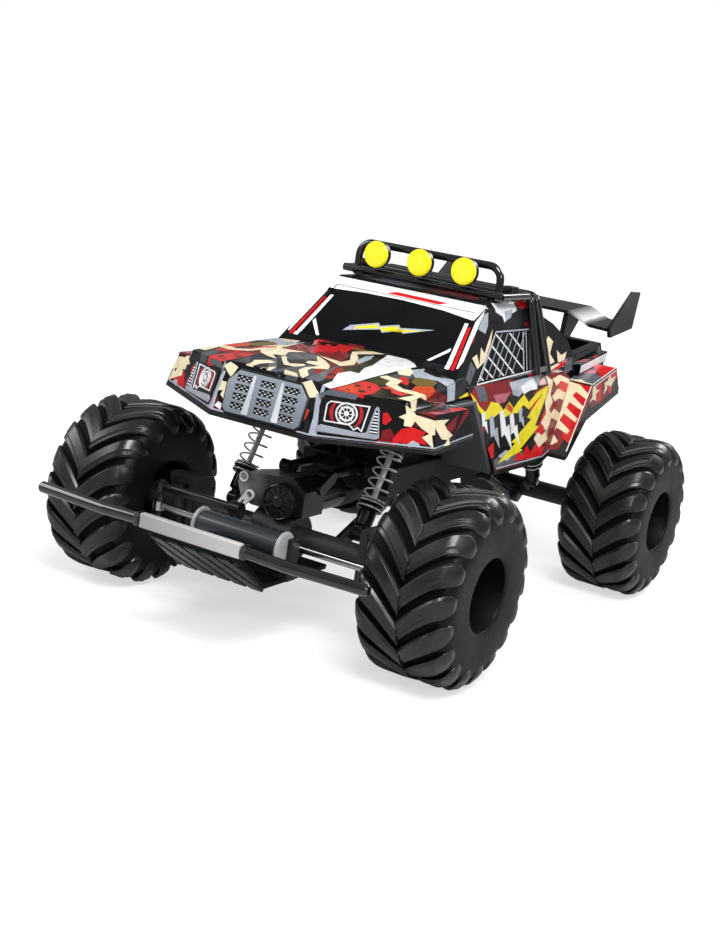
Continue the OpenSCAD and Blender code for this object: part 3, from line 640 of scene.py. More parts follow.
# Outlines in millimetres. On the hood: to the left of the middle, and back from the front axle.
HOOD = [
    ("deep_red", [(-34, 30), (-27, 27), (-22, 34), (-8, 31), (0, 30), (8, 26), (4, 44), (-6, 60),
                  (-12, 52), (-20, 60), (-30, 50), (-40, 56), (-44, 44)]),
    ("red", [(-17, 33), (-14, 47), (-9, 43), (-11, 57), (-5, 52), (-8, 70), (-11, 79), (-17, 91),
             (-30, 93), (-52, 98), (-50, 88), (-44, 74), (-38, 71), (-29, 54), (-30, 63), (-22, 45)]),
    ("black", [(-33, 66), (-24, 60), (-27, 70), (-19, 64), (-22, 76), (-31, 73)]),
    ("black", [(-20, 82), (-14, 74), (-13, 83), (-18, 88)]),
    ("olive", [(-8, 69), (2, 66), (5, 80), (-5, 90), (-16, 91)]),
    ("grey", [(3, -45), (10, -45), (-5, -21), (-17, -3), (-19, -8), (-8, -25)]),
    ("grey", [(24, -43), (32, -45), (30, -25), (22, -8), (16, 11), (14, 30), (10, 36), (19, -15)]),
    ("silver", [(12, 40), (18, 33), (15, 52), (10, 66), (8, 58)]),
    ("cream", [(-25, -1), (-32, 3), (-46, 22), (-57, 42), (-64, 62), (-70, 82), (-74, 98),
               (-64, 93), (-49, 72), (-46, 48), (-35, 27), (-19, 32), (-25, 21), (-20, 10),
               (-27, 7), (-18, -2)]),
    ("cream", [(-19, -42), (-13, -42), (-15, -23), (-12, -12), (-18, -9), (-23, -18), (-19, -27)]),
    ("cream", [(-12, -40), (-6, -26), (-3, -40), (1, -40), (-5, -21)]),
    ("cream", [(16, -44), (28, -43), (18, -33), (11, -24), (2, -23), (11, -37)]),
    ("cream", [(21, -33), (18, -22), (11, -13), (9, -5), (16, 2), (11, 12), (1, 22), (-10, 30),
               (-4, 21), (0, 15), (-4, 11), (-2, 5), (8, 5), (5, -7), (7, -16), (16, -28)]),
    ("cream", [(-6, -12), (1, -11), (3, -3), (0, 1), (-6, -6), (-12, 0), (-18, 9), (-20, 6),
               (-14, -2)]),
    ("cream", [(15, 17), (18, 28), (9, 48), (2, 58), (12, 76), (21, 74), (18, 87), (9, 88),
               (-4, 62), (1, 52), (9, 38), (9, 28), (-9, 31)]),
    # painted highlight: these two white outlines are a band of light along the hood's crease
    ("white", [(34, -38), (38, -38), (38, 10), (26, 10), (25, -2), (33, -20)]),
    ("white", [(33, 8), (38, 10), (39, 55), (40, 66), (28, 76), (11, 86), (18, 62), (25, 38),
               (26, 27)]),
]
HOOD_SLOPE = [
    ("red", [(38, -40), (51, -37), (53, -27), (56, -12), (52, 3), (45, 8), (39, 6)]),
    ("deep_red", [(69, -30), (76, -28), (72, -14), (66, -20)]),
    ("black", [(41, -33), (44, -35), (43, -29)]),
    ("black", [(47, -31), (50, -29), (48, -25), (45, -27)]),
    ("black", [(42, -22), (45, -21), (43, -17)]),
    ("black", [(49, -18), (52, -15), (50, -11), (47, -14)]),
    ("black", [(41, -10), (44, -9), (43, -4), (40, -5)]),
    ("black", [(47, -5), (49, -3), (46, 1)]),
    ("red", [(51, 4), (57, 7), (60, 1), (66, 2), (68, 10), (58, 9), (52, 12)]),
    ("red", [(50, 27), (57, 25), (54, 33), (47, 42), (45, 38)]),
    ("orange", [(63, 20), (74, 18), (72, 33), (66, 41), (60, 30)]),
    ("olive", [(54, 35), (61, 31), (66, 41), (63, 52), (54, 58), (49, 50)]),
    ("silver", [(41, 58), (50, 47), (56, 53), (61, 56), (72, 50), (80, 39), (84, 42), (72, 61),
                (64, 70), (56, 63), (46, 65), (43, 72)]),
    ("cream", [(40, 31), (39, 23), (46, 24), (49, 13), (60, 9), (70, 12), (68, -5), (79, -2),
               (74, 7), (74, 19), (65, 19), (60, 16), (53, 20), (50, 32)]),
    ("cream", [(42, 42), (47, 46), (44, 56), (39, 60), (39, 44)]),
]
# On the left facet beside the headlight: out along it from the nose's corner, and up its face
FACET = [
    ("deep_red", [(39, 0.5), (46, 0.5), (46, 8), (44, 11), (39.5, 9)]),
    ("red", [(38.5, 19), (41, 19.5), (44, 16), (41, 12.5), (39, 13)]),
    ("red", [(46, 1), (50, 4), (56, 2.5), (60, 5), (66, 4.5), (62, 8.5), (64, 11.5), (56, 13.5),
             (50, 11.5), (46, 6)]),
    ("silver", [(54.5, 3.5), (57, 6), (61, 4.8), (62, 3.2), (55.5, 2)]),
    ("cream", [(50.5, 25), (51.5, 20.5), (47.5, 18), (51, 17), (51, 13.5), (55.5, 13.5), (57, 17),
               (61, 13.5), (66, 11), (62, 8.5), (69.5, 3), (67.5, 10.5), (72, 11.5), (72, 17.5),
               (67, 19), (57, 20.5), (54.5, 23.5)]),
    ("deep_red", [(58, 22), (73, 19.5), (73, 24), (60, 25)]),
    ("grey", [(0, 24), (2, 20), (5, 24.5), (22, 24), (24, 27), (8, 28)]),
    # painted highlights: a silver band of light up the nose's corner, and a silver line of light
    # along the facet's foot
    ("silver", [(0, 1), (3.5, 1.4), (2.5, 20), (1.5, 24), (0, 24)]),
    ("silver", [(0, 0.5), (71, 3), (71, 3.9), (0, 1.4)]),
]
# Sides: back from the front axle, and up from the axles
FLARE_SIDE = [
    # painted highlight: a silver line of light along the flare's edge
    ("silver", [(-5, 74.4), (48, 77.9), (48, 78.6), (-5, 75.1)]),
    ("deep_red", [(12, 85), (29, 91), (24, 84), (16, 81)]),
    ("deep_red", [(16, 75), (38, 92), (46, 92), (26, 82)]),
    ("cream", [(-15, 93), (-2, 90), (17, 89), (11, 87), (13, 84), (20, 80), (15, 78.5), (16, 75),
               (8, 75), (13, 78), (6, 79), (2, 83), (-1, 86), (-2, 83), (-4, 85), (-5, 80),
               (-3, 76), (-6, 74), (-11, 77), (-15, 79), (-15, 83), (-8, 84), (-15, 86)]),
]
# Top of the front flare, as on the hood
FLARE_TOP = [
    ("deep_red", [(83, -12), (97, -6), (97, 12), (88, 30), (84, 18)]),
    ("red", [(84, 30), (94, 16), (97, 20), (97, 44), (86, 46)]),
    ("pink", [(85, 2), (93, 4), (92, 14), (86, 12)]),
    ("cream", [(76, -16), (90, -7), (96, -4), (96, 2), (88, -2), (80, -8)]),
]
DOOR = [
    ("deep_red", [(108, 98), (152, 99), (150, 90), (128, 84), (112, 88)]),
    ("pink", [(120, 91), (146, 91), (139, 85), (126, 85)]),
    ("grey", [(94, 98), (108, 97), (112, 88), (100, 88)]),
    ("silver", [(146, 97), (168, 98), (200, 99), (188, 91), (172, 92), (160, 87), (150, 89)]),
    ("white", [(162, 93), (170, 95), (186, 98), (190, 90), (178, 90), (168, 88)]),
    ("black", [(100, 80), (112, 74), (122, 56), (140, 52), (150, 58), (176, 54), (192, 62),
               (206, 78), (190, 84), (168, 82), (150, 84), (130, 80)]),
    ("grey", [(128, 48), (150, 52), (176, 48), (188, 44), (158, 43), (130, 43)]),
    ("silver", [(134, 50), (146, 53), (158, 49), (150, 45)]),
    ("red", [(160, 44), (166, 52), (172, 46), (180, 53), (186, 47), (198, 54), (210, 48),
             (214, 44), (196, 42)]),
    ("red", [(114, 56), (126, 60), (128, 50), (118, 50)]),
    ("red", [(190, 60), (198, 66), (206, 76), (212, 82), (212, 66), (204, 56)]),
    ("orange", [(178, 84), (202, 83), (196, 75), (188, 78), (182, 74)]),
    ("yellow", [(70, 93), (86, 95), (93, 91), (101, 85), (110, 81), (117, 87), (129, 85),
                (137, 80), (145, 85), (153, 80), (159, 84), (168, 88), (177, 82), (190, 88),
                (210, 92), (205, 82), (199, 86), (188, 82), (178, 77), (168, 81), (160, 76),
                (151, 77), (141, 75), (132, 79), (122, 76), (110, 76), (98, 84), (88, 90),
                (72, 90)]),
    ("yellow", [(206, 84), (191, 65), (197, 64), (169, 51), (174, 50), (134, 45), (160, 56),
                (153, 57), (183, 70), (176, 72), (199, 86)]),
    ("orange", [(140, 81), (144, 84), (152, 80), (150, 77)]),
]
QUARTER = [
    ("deep_red", [(205, 99), (240, 98), (250, 92), (244, 84), (222, 43), (208, 43), (214, 70)]),
    ("red", [(222, 97), (246, 92), (240, 80), (228, 84), (226, 90)]),
    ("cream", [(204, 99), (216, 94), (213, 85), (218, 79), (213, 74), (219, 69), (214, 62),
               (204, 57), (196, 60), (190, 56), (200, 49), (214, 53), (206, 63), (200, 66),
               (208, 72), (204, 80), (209, 88)]),
    ("cream", [(216, 83), (225, 88), (240, 84), (237, 79), (228, 81), (222, 79)]),
    ("cream", [(216, 95), (230, 97), (246, 93), (244, 90), (230, 93), (222, 90)]),
    ("cream", [(214, 70), (222, 74), (232, 70), (229, 65), (221, 67)]),
]
# Outer side of the rear flare
FLARE_OUT = [
    ("red", [(219, 45.5), (244, 71), (300, 86.5), (288.5, 101.5), (247, 91.5)]),
    ("deep_red", [(222, 50), (232, 58), (243, 71.5), (262, 77), (254, 90), (246, 86), (240, 78)]),
    ("black", [(224, 53), (230, 57), (241, 71), (252, 75), (246, 80), (238, 72)]),
    ("deep_red", [(268, 79.5), (282, 83), (272, 97), (262, 94)]),
    ("charcoal", [(286, 84), (299, 87), (292, 96), (284, 90)]),
    ("cream", [(246.5, 91), (249, 84), (245, 80), (252, 82), (258, 80), (255, 86), (262, 88),
               (254, 89), (251, 92.5)]),
    ("cream", [(270, 84), (276, 88), (274, 91), (282, 89), (286, 92), (289, 97), (281, 95),
               (277, 98), (274, 94), (268, 93), (271, 89)]),
    # painted highlight: a white line of light along the flare's upper edge
    ("white", strip((247.5, 91.2), (288, 101), 0.9)),
    ("black", strip((218.5, 46.6), (243.5, 72), 2.6)),
    ("black", strip((242.5, 71.4), (300, 87.2), 2.6)),
]
# Front face of the rear flare: to the left, and up from the axles
FLARE_FACE = [
    ("red", [(70, 60), (87.5, 52), (87.5, 91.5), (70, 91.5)]),
    ("deep_red", [(70, 70), (80, 62), (80, 48), (70, 46)]),
    ("cream", [(70, 91.8), (79, 91), (87.6, 86), (87.6, 82.5), (78, 86), (76.5, 83), (87, 77.5),
               (86.6, 75), (76, 78.5), (75.5, 74.5), (86.4, 69), (85.6, 66.5), (75, 70.5),
               (74, 65.5), (84, 60.5), (83, 58), (74, 60.5), (73.4, 56), (79, 52), (76, 49.5),
               (70, 46)]),
    # painted highlight: a white line of light along the face's outer edge
    ("white", strip((87.3, 47), (87.3, 92), 0.8)),
]
# Top of the rear flare: to the left, and back from the front axle
FLARE_ROOF = [
    ("grey", [(66, 247), (88, 247), (88, 262), (80, 270), (66, 262)]),
    ("pink", [(66, 261), (80, 268), (78, 276), (66, 274)]),
    ("red", [(78, 275), (88, 261), (88, 288), (70, 288), (70, 280)]),
    ("charcoal", [(66, 272), (78, 275), (71, 282), (66, 282)]),
    ("cream", [(66, 246.5), (88, 246.5), (88, 248.2), (80, 249), (76, 252), (73, 249), (66, 250)]),
    # painted highlight: a white line of light along the outer edge
    ("white", strip((87.4, 248), (87.4, 288), 0.8)),
]
# The bed's side and the cab's pillars, as on the door
BED_SIDE = [
    # painted highlight: a silver line of light along the foot of the door
    ("silver", [(132, 41.6), (208, 41.6), (222, 46), (222, 47), (207, 42.6), (132, 42.6)]),
    ("grey", [(238, 97), (254.5, 99), (254.5, 108), (242, 104)]),
    ("red", [(216, 100), (236, 102), (246, 106), (240, 109), (226, 104)]),
    ("cream", [(205, 101), (214, 107), (211, 111), (219, 109), (226, 112), (222, 106), (232, 104),
               (222, 102), (214, 100)]),
    # painted highlights: a white band of light on the bed's ledge, and a silver line of light along
    # its upper edge
    ("white", [(255.8, 97.6), (303, 104.2), (304.3, 110.2), (255.8, 103.0)]),
    ("charcoal", [(255, 104), (305, 111.4), (304, 114.6), (262, 109)]),
    ("silver", [(234, 108), (262, 112), (300, 116), (300, 114.6), (262, 110), (236, 105)]),
]
PILLAR = [
    ("grey", [(84, 103), (92, 113), (99, 108), (90, 99)]),
    # painted highlight: a pale patch of light on the front pillar
    ("silver", [(104, 132), (112, 141), (119, 142), (118, 134), (114, 129)]),
    ("cream", [(94, 115), (101, 117), (104, 110), (107, 121), (112, 117), (116, 122), (125, 132),
               (122, 124), (112, 112), (101, 108)]),
    ("white", [(128, 148), (162, 148), (162, 142), (152, 140), (143, 135), (140, 139), (130, 142)]),
    ("silver", [(143, 142), (156, 143), (153, 138), (145, 136)]),
    ("red", [(164, 146), (178, 149), (184, 145), (170, 143)]),
    ("deep_red", [(172, 133), (184, 136), (182, 131)]),
    # painted highlight: a lighter grey streak of light down the rear pillar
    ("grey", [(183, 149), (186, 125), (189, 102), (197, 103), (195, 125), (189, 149)]),
    ("cream", [(204, 118), (214, 124), (222, 120), (216, 112), (224, 106), (212, 104), (206, 110)]),
    ("cream", [(228, 114), (236, 110), (246, 112), (240, 104), (230, 104)]),
]


def both(*outlines):
    """Outlines of a left half, and then their mirror images."""
    return list(outlines) + [(colour, [(-x, y) for x, y in outline])
                             for colour, outline in outlines]


# On the windscreen and the panel over it: to the left, and up the glass
SCREEN = [
    ("white", [(-60, 47), (-30, 49.5), (0, 50), (30, 48.5), (54, 45), (57, 59), (-57, 59)]),
    *both(("white", [(49, 42), (51.6, 42), (57.6, 2), (54.4, 2)]),
          ("red", [(52.6, 39), (54.9, 39), (61.2, 2), (58.4, 2)])),
    ("red", [(-14, 52.6), (25, 52.2), (31, 54.8), (-8, 55.4)]),
    ("silver", [(-24, 20), (-6, 27), (-4, 24.6), (8, 29), (10, 26.6), (33, 31), (14, 22.4),
                (11.6, 24.6), (0, 19.4), (-2.4, 21.8), (-27, 14.6)]),
    ("yellow", [(-20, 19.6), (-6.4, 25.2), (-4.4, 23), (7.4, 27.2), (9.4, 25), (26, 28),
                (13.6, 23.6), (11.4, 25.6), (-0.4, 20.8), (-2.8, 23), (-20, 17.6)]),
    *both(("white", [(40, 6.2), (41.6, 5), (51.2, 16.5), (50.4, 19.5)])),
    *both(("white", [(55.6, 44), (57.4, 58), (59.5, 57), (64.5, 20), (63, 4), (61.8, 4)])),
]
# On the roof, as on the hood
ROOF = [
    ("grey", [(-40, 128), (-12, 124), (4, 132), (-16, 146), (-34, 142)]),
    ("deep_red", [(8, 130), (38, 126), (46, 142), (24, 150), (12, 142)]),
    ("cream", [(-44, 150), (-20, 147), (-26, 156), (2, 150), (-8, 162), (20, 154), (44, 160),
               (16, 164), (-4, 172), (2, 160), (-30, 166), (-24, 156)]),
    ("red", [(-40, 172), (-10, 168), (6, 176), (-18, 184), (-42, 182)]),
    ("silver", [(20, 170), (46, 166), (48, 180), (28, 184)]),
]


def shard(x, z, long):
    """A slanting bolt with a step in it, on the door."""
    k = long / 17
    return [(x, z), (x + 6, z + 1), (x + 8 * k, z - 7 * k), (x + 11 * k, z - 6 * k),
            (x + 16 * k, z - 18 * k), (x + 7 * k, z - 10 * k), (x + 4 * k, z - 11 * k)]


SHARDS = [("silver" if i % 3 == 1 else "white", shard(*place)) for i, place in enumerate((
              (104, 80, 13), (116, 77, 21), (131, 79, 26), (147, 76, 21), (161, 78, 13)))]

# Screen printing on the side windows: the two families of a net's strings, and two bars
NET = [("white", strip(a, b, 1.3)) for a, b in (
           ((101, 114), (128, 99)), ((110, 119), (145, 99)), ((119, 124), (160, 100)),
           ((129, 129), (172, 104)), ((150, 129), (174, 115)), ((100, 106), (112, 99)))]
NET += [("silver", strip((104 + 9.2 * i, 99), (132 + 9.2 * i, 130), 0.9)) for i in range(6)]
NET += [("silver", strip((172.5, 100), (172.5, 130), 2.2)),
        ("silver", strip((177.5, 100), (177.5, 130), 1.6)),
        ("grey", strip((184, 100), (184, 130), 5))]
WINDOW_FRAME = [("silver", strip((98, 96.8), (194, 101.2), 0.9)),
                ("white", strip((99.5, 98.4), (194, 102.6), 0.9)),
                ("white", strip((99.8, 98.6), (129.2, 129.4), 0.8)),
                ("silver", strip((129, 129.6), (186, 129.6), 1.0))]
# On the nose: to the left of its middle, and up its face
NOSE = [
    ("cream", [(-33, 18), (-28, 18), (-28, 8), (-31, 10), (-30, 13), (-33, 12)]),
    ("cream", [(-34, 27), (-27, 21), (-24, 28), (-30, 30)]),
    ("cream", [(20, 28), (28, 21), (35, 23), (30, 27), (26, 31)]),
    ("orange", [(27.5, 15), (30, 14), (29, 9), (27.5, 7)]),
    ("white", [(-33, 3), (-28, 1.5), (-28, 5), (-31, 6)]),
    # painted highlights: silver bands of light up the nose's corners and a silver line of light along
    # its foot
    ("silver", [(-35, 1), (-33.2, 1), (-33.2, 30), (-35, 30)]),
    ("silver", [(33.4, 1), (35, 1), (35, 30), (33.4, 30)]),
    ("silver", strip((-35, 0.8), (35, 0.8), 0.9)),
]


def films(shell, cab, screen, side_panes):
    """Printed splinters and bolts, and painted highlights along some edges, on the hood's crease and
    on the pillars, one piece for each colour.
    """
    inks = {name: film("film_" + name, c) for name, c in COLOURS.items()}
    sheets = {name: [] for name in COLOURS}
    left_slope = plan_of(facet_face())
    places = [
        (HOOD, shell, Z, from_above, lambda p: p.z > AXLE + 0.094),
        (ROOF, cab, Z, from_above, lambda p: p.z > AXLE + 0.140),
        (NOSE, shell, Vector((0, -1, 0.25)).normalized(), plan_of(nose_face()),
         lambda p: p.y < FRONT),
    ]
    for piece in (cab, screen):
        places.append((SCREEN, piece, Vector((0, -0.67, 0.74)),
                       plan_of(screen_face()), lambda p: p.z > AXLE + 0.104))
    # the left side's outlines on both sides
    for s, pane in zip((1, -1), side_panes):
        flip = Matrix.Scale(s, 4, X)
        mirrored = [(HOOD_SLOPE + FLARE_TOP, shell, Z, from_above, lambda p: p.z > AXLE + 0.088),
                    (FACET, shell, Vector((0.49, -0.83, 0.25)), left_slope,
                     lambda p: p.y < FRONT + 0.010),
                    (FLARE_SIDE, shell, X, from_side,
                     lambda p: p.x > 0.085 and p.y < FRONT + 0.06),
                    (DOOR + SHARDS + QUARTER + BED_SIDE, shell, X, from_side,
                     lambda p: 0.058 < p.x < 0.080 and p.y > FRONT + 0.06),
                    (FLARE_OUT, shell, X, from_side,
                     lambda p: p.x > 0.080 and p.y > REAR - 0.08),
                    (FLARE_FACE, shell, Vector((0, -0.87, 0.5)), from_front,
                     lambda p: p.x > 0.066 and abs(p.y - REAR + 0.054) < 0.02),
                    (FLARE_ROOF, shell, Z, from_above,
                     lambda p: p.x > 0.07 and p.y > REAR - 0.045),
                    (PILLAR + WINDOW_FRAME, cab, X, from_side, lambda p: p.x > 0.04),
                    (NET, pane, X, from_side, lambda p: p.x > 0.04)]
        for outlines, piece, towards, plan, where in mirrored:
            places.append((outlines, piece, flip @ towards,
                           lambda p, flip=flip, plan=plan: plan(flip @ p),
                           lambda p, flip=flip, where=where: where(flip @ p)))
    surfaces = {piece.name: Surface(piece) for piece in (shell, cab, screen, *side_panes)}
    for outlines, piece, towards, plan, where in places:
        for i, (colour, outline) in enumerate(outlines):
            lift = FILM_LIFT + FILM_STEP * i
            sheets[colour].append(surfaces[piece.name].lay(outline, towards, plan, lift, where))
    for colour, parts in sheets.items():
        if any(faces for _, faces in parts):
            film_piece("film_" + colour, parts, inks[colour])


# ---- Wheels --------------------------------------------------------------------------------

TYRE_R = 57.5
LUGS, LUG_WIDE, LUG_SHIFT = 18, 15.0, 25.0
TREAD_BASE = 52.4
ARM_REACH = 29.9
TYRE_SIDES = 120
GROOVE_ROWS = 5                              # bands of the lathed tyre that lie between the lugs
BEAD_IN = [(26, 24.4), (28.2, 24.4), (28.2, 26.9), (24.6, 26.9), (24.3, 27.4), (24.6, 28.1),
           (26, 28.6), (29, 29), (32, 29.3)]
BEAD_OUT = [(26, 24.4), (28.2, 24.4), (28.2, 26.9), (22.3, 26.9), (21.8, 27.3), (22.0, 28.0),
            (22.9, 28.5), (26, 28.9), (32, 29.3)]
SIDEWALL = [(38, 29.5), (43, 29.4), (46.5, 28.6), (49.4, 26.9), (51.3, 24.2), (TREAD_BASE, 20),
            (TREAD_BASE, 8)]


def wheel_place(node, side):
    """x out of the wheel's outer face, z to the top."""
    mirror = Matrix.Scale(side, 4, (1, 0, 0))
    return Matrix.Translation(middle(node) / MM) @ mirror


def lug_top(x):
    """Outer radius of a lug at a distance from the tyre's middle plane."""
    u = max(0, abs(x) - 17) / 13
    return TYRE_R - 10.6 * u ** 2.6


def arm(turn, side):
    """Rings of one arm of a V-shaped lug, from the tyre's middle to a shoulder. The V's tip is at
    the lowest point of the wheel's front. The inner arm runs past the tip, and stands higher."""
    rings = []
    stations = 13
    start = -1.6 if side < 0 else 0.4
    for i in range(stations):
        reach = math.sin(math.pi / 2 * 0.97 * i / (stations - 1)) / math.sin(math.pi / 2 * 0.97)
        x = start + (ARM_REACH - start) * reach
        climb = math.radians(LUG_SHIFT) * (1.45 * x - 0.45 * x * x / ARM_REACH) / ARM_REACH
        top = lug_top(x) - (0.9 * max(0, 1 - x / 14) if side > 0 else 0)
        height = max(2.4, top - TREAD_BASE)
        end = math.sqrt(max(0, 1 - max(0, (reach - 0.86) / 0.14) ** 2.4))
        wide = LUG_WIDE * (0.34 + 0.66 * end) * top / TYRE_R * (1 if side > 0 else 0.94)
        low = top - height - 2.2
        section = [(-0.5, low), (-0.5, top - 0.60 * height), (-0.43, top - 0.26 * height),
                   (-0.22, top - 0.22 * height), (-0.16, top - 0.03 * height), (0.36, top),
                   (0.5, top - 0.34 * height), (0.5, low)]
        ring = []
        for share, r in section:
            w = turn + climb + share * wide / top
            inward = max(0, reach - 0.93) * 6 * (top - r) / max(top - low, 1)
            ring.append((side * (x - inward), -r * math.cos(w), r * math.sin(w)))
        rings.append(ring)
    return rings


def groove():
    """The tread's floor between the lugs, painted blacker than the lugs' rubber as painted shade."""
    return Finish("groove_rubber", (0.0012, 0.0013, 0.0014), rough=0.6, specular=0.1).mottle(0.3, 90)


def wall():
    """The smooth sidewalls, duller than the lugs, and painted darker than the lugs' rubber as painted
    shade.
    """
    f = Finish("sidewall_rubber", (0.0022, 0.0027, 0.0030), rough=0.46, specular=0.2)
    f.mottle(0.22, 45, 0.07)
    return f.bump(f.noise(700, 4, 0.6), 0.12, 0.0002)


def tyre(node, side, finishes):
    b = Builder(wheel_place(node, side) @ Matrix.Rotation(math.pi / 2, 4, "Y"))
    inner = [(r, -h) for r, h in BEAD_IN + SIDEWALL]
    b.lathe(BEAD_OUT + SIDEWALL + inner[::-1], TYRE_SIDES, closed=True)
    first = len(BEAD_OUT) + len(SIDEWALL) - 3
    b.material = [1 if first <= i // TYRE_SIDES < first + GROOVE_ROWS else 2
                  for i in range(len(b.faces))]
    b.place = wheel_place(node, side)
    for i in range(LUGS):
        for arm_side in (1, -1):
            b.loft(arm(2 * math.pi * i / LUGS, arm_side))
    b.piece(node + "_lugged", "tyre", finishes, 38, 0.55, 2, node=node, body=BODY_OF[node])


def wheels():
    finishes = (rubber(), groove(), wall())
    gloss = moulded("rim_plastic", (0.005, 0.005, 0.006), rough=0.4, grain=0.05)
    for end in ("front", "rear"):
        for name, side in SIDES:
            tyre(f"{end}_{name}_tyre", side, finishes)
            cad_copy(f"{end}_{name}_rim", gloss, 0.4)


# ---- Axles, steering and suspension --------------------------------------------------------

CASE_BLACK = (0.022, 0.023, 0.026)
DAMPER_X = 46
DAMPER_FOOT = (14.5, 8)
DAMPER_HEAD = (44.5, 64)
DAMPER_LONG = math.hypot(DAMPER_HEAD[0] - DAMPER_FOOT[0], DAMPER_HEAD[1] - DAMPER_FOOT[1])
PERCH_LOW, PERCH_HIGH = 22, DAMPER_LONG - 9.5
COIL_R, WIRE_R, TURNS = 6.9, 0.6, 6


def axle_place(axle):
    """Millimetres from an axle's middle: x to the left, y towards the truck's middle."""
    turn = Matrix.Rotation(math.pi if axle == REAR else 0, 4, "Z")
    return Matrix.Translation((0, axle / MM, AXLE / MM)) @ turn


def damper_place(axle, side):
    lean = math.atan2(DAMPER_HEAD[0] - DAMPER_FOOT[0], DAMPER_HEAD[1] - DAMPER_FOOT[1])
    return (axle_place(axle) @ Matrix.Translation((side * DAMPER_X, *DAMPER_FOOT)) @
            Matrix.Rotation(-lean, 4, "X"))


def damper_shape(b):
    b.paint = 0
    b.lathe([(0, 2.6), (3.3, 2.6), (3.4, 5), (4.6, 5.4), (5.4, 6.2), (5.4, 14.6), (5.0, 15.2),
             (5.0, 15.6), (5.4, 16), (7.4, 16.2), (7.9, 16.8), (7.9, 18.6), (7.4, 19), (6.2, 19.2),
             (6.2, 19.5), (7.9, 19.7), (8.1, 20.2), (8.1, 21.6), (7.6, 22), (0, 22)])
    b.paint = 1
    for z in (16.9, 20.3):
        b.lathe([(7.7, z), (8.2, z + 0.1), (8.2, z + 0.9), (7.7, z + 1.0)], closed=True)
    b.lathe([(0, 21.8), (2.7, 21.8), (2.9, 22.4), (2.9, 24.0), (1.8, 24.4), (1.8, PERCH_HIGH),
             (0, PERCH_HIGH)])
    b.paint = 0
    top = PERCH_HIGH
    b.lathe([(0, top), (7.0, top), (7.4, top + 0.4), (7.4, top + 2), (6.8, top + 2.35),
             (2.4, top + 2.4), (2.4, DAMPER_LONG - 3), (0, DAMPER_LONG - 3)])


def dampers(axle, name, black, silver):
    b = Builder()
    for side in (1, -1):
        b.place = damper_place(axle, side)
        damper_shape(b)
        for z in (0, DAMPER_LONG):
            b.place = (damper_place(axle, side) @ Matrix.Translation((-3.5, 0, z)) @
                       Matrix.Rotation(math.pi / 2, 4, "Y"))
            b.paint = 0
            b.lathe([(0, 0), (3.4, 0), (3.95, 0.5), (3.95, 6.5), (3.4, 7), (0, 7)], 28)
            b.paint = 1
            b.lathe([(0, -0.35), (1.5, -0.35), (1.9, 0), (1.9, 7), (1.5, 7.35), (0, 7.35)], 6)
    b.piece(name + "_shape", "black_chassis", (black, silver), 30, 0.15, node=name)


def springs(axle, name, silver):
    b = Builder()
    low, high = PERCH_LOW + 0.2 + WIRE_R, PERCH_HIGH - 0.2 - WIRE_R
    count = int(TURNS * 30)
    for side in (1, -1):
        b.place = damper_place(axle, side)
        path = []
        for i in range(count + 1):
            t = i / count
            w = 2 * math.pi * TURNS * t + 1.0
            rise = min(1, max(0, (t * TURNS - 0.8) / (TURNS - 1.6)))
            path.append((COIL_R * math.cos(w), COIL_R * math.sin(w), low + (high - low) * rise))
        b.tube(path, WIRE_R, 8)
    b.piece(name + "_coils", "bright_metal", silver, 50, node=name)


def running_gear():
    black = moulded("case_plastic", CASE_BLACK, rough=0.42, grain=0.15)
    glossy = moulded("gloss_case", (0.012, 0.012, 0.014), rough=0.2, grain=0.04)
    silver = bright("chrome", (0.42, 0.43, 0.44), 0.2)
    wire = moulded("pale_wire", (0.93, 0.93, 0.94), rough=0.16, grain=0.03, coat=0.8)
    # painted highlight: the front case is light grey towards the truck's right and black towards its
    # left
    case = painted_light_gradient("gear_case_painted_sheen", (0.30, 0.31, 0.32), (0.008, 0.009, 0.010), -0.020, -0.001,
                  rough=0.3, axis=0)
    cad_copy("front_axle_housing", black, 0.5, name="front_axle_shape")
    cad_copy("rear_axle_housing", black, 0.5, name="rear_axle_shape")
    for end in ("front", "rear"):
        axle = FRONT if end == "front" else REAR
        cad_copy(f"{end}_gearbox", case if end == "front" else black, 0.7)
        motor_vents(end, axle, glossy)
        cad_copy(f"{end}_motor", glossy, 0.6)
        dampers(axle, f"{end}_dampers", glossy, wire)
        springs(axle, f"{end}_springs", wire)
        for kind in ("lower", "upper"):
            cad_copy(f"{end}_{kind}_links", glossy, 0.35, name=f"{end}_{kind}_link_shape")
        cad_copy(f"{end}_damper_mount", black, 0.6)
    gearbox_bracket(wire)
    for name, side in SIDES:
        cad_copy(name + "_knuckle", black, 0.5)
    cad_copy("tie_rod", silver, 0.35)
    cad_copy("drag_link", glossy, 0.5)
    cad_copy("chassis_frame", black, 0.6)
    cad_copy("battery_box", black, 1.2, 3)
    cad_copy("body_posts", black, 0.4)


def gearbox_bracket(pale):
    """On the front case, a ring around the upper screw eye and a forked bracket below it."""
    face = axle_place(FRONT) @ Matrix.Rotation(math.pi / 2, 4, "X")
    b = Builder(face @ Matrix.Translation((-23.5, 30.5, 11.5)))
    b.lathe([(2.2, -1.4), (2.2, 0.1), (2.5, 0.4), (3.1, 0.4), (3.3, 0.1), (3.3, -1.4)], 28,
            closed=True)
    b.place = face @ Matrix.Translation((-17.5, 20.5, 11.5)) @ Matrix.Rotation(-0.62, 4, "Z")
    b.lathe([(1.9, -0.6), (1.9, 1.2), (3.1, 1.2), (3.4, 0.9), (3.4, -0.6)], 28, closed=True)
    b.prism([(-2.9, -2.6), (-3.1, -9.4), (-1.5, -9.8), (-0.9, -4.8), (-0.1, -4.8), (0.3, -10),
             (1.9, -9.4), (2.9, -2.2), (1.4, -3.0), (0, -3.2), (-1.4, -3.1)], -0.4, 1.0)
    b.piece("front_case_bracket", "bright_metal", pale, 30, 0.2)


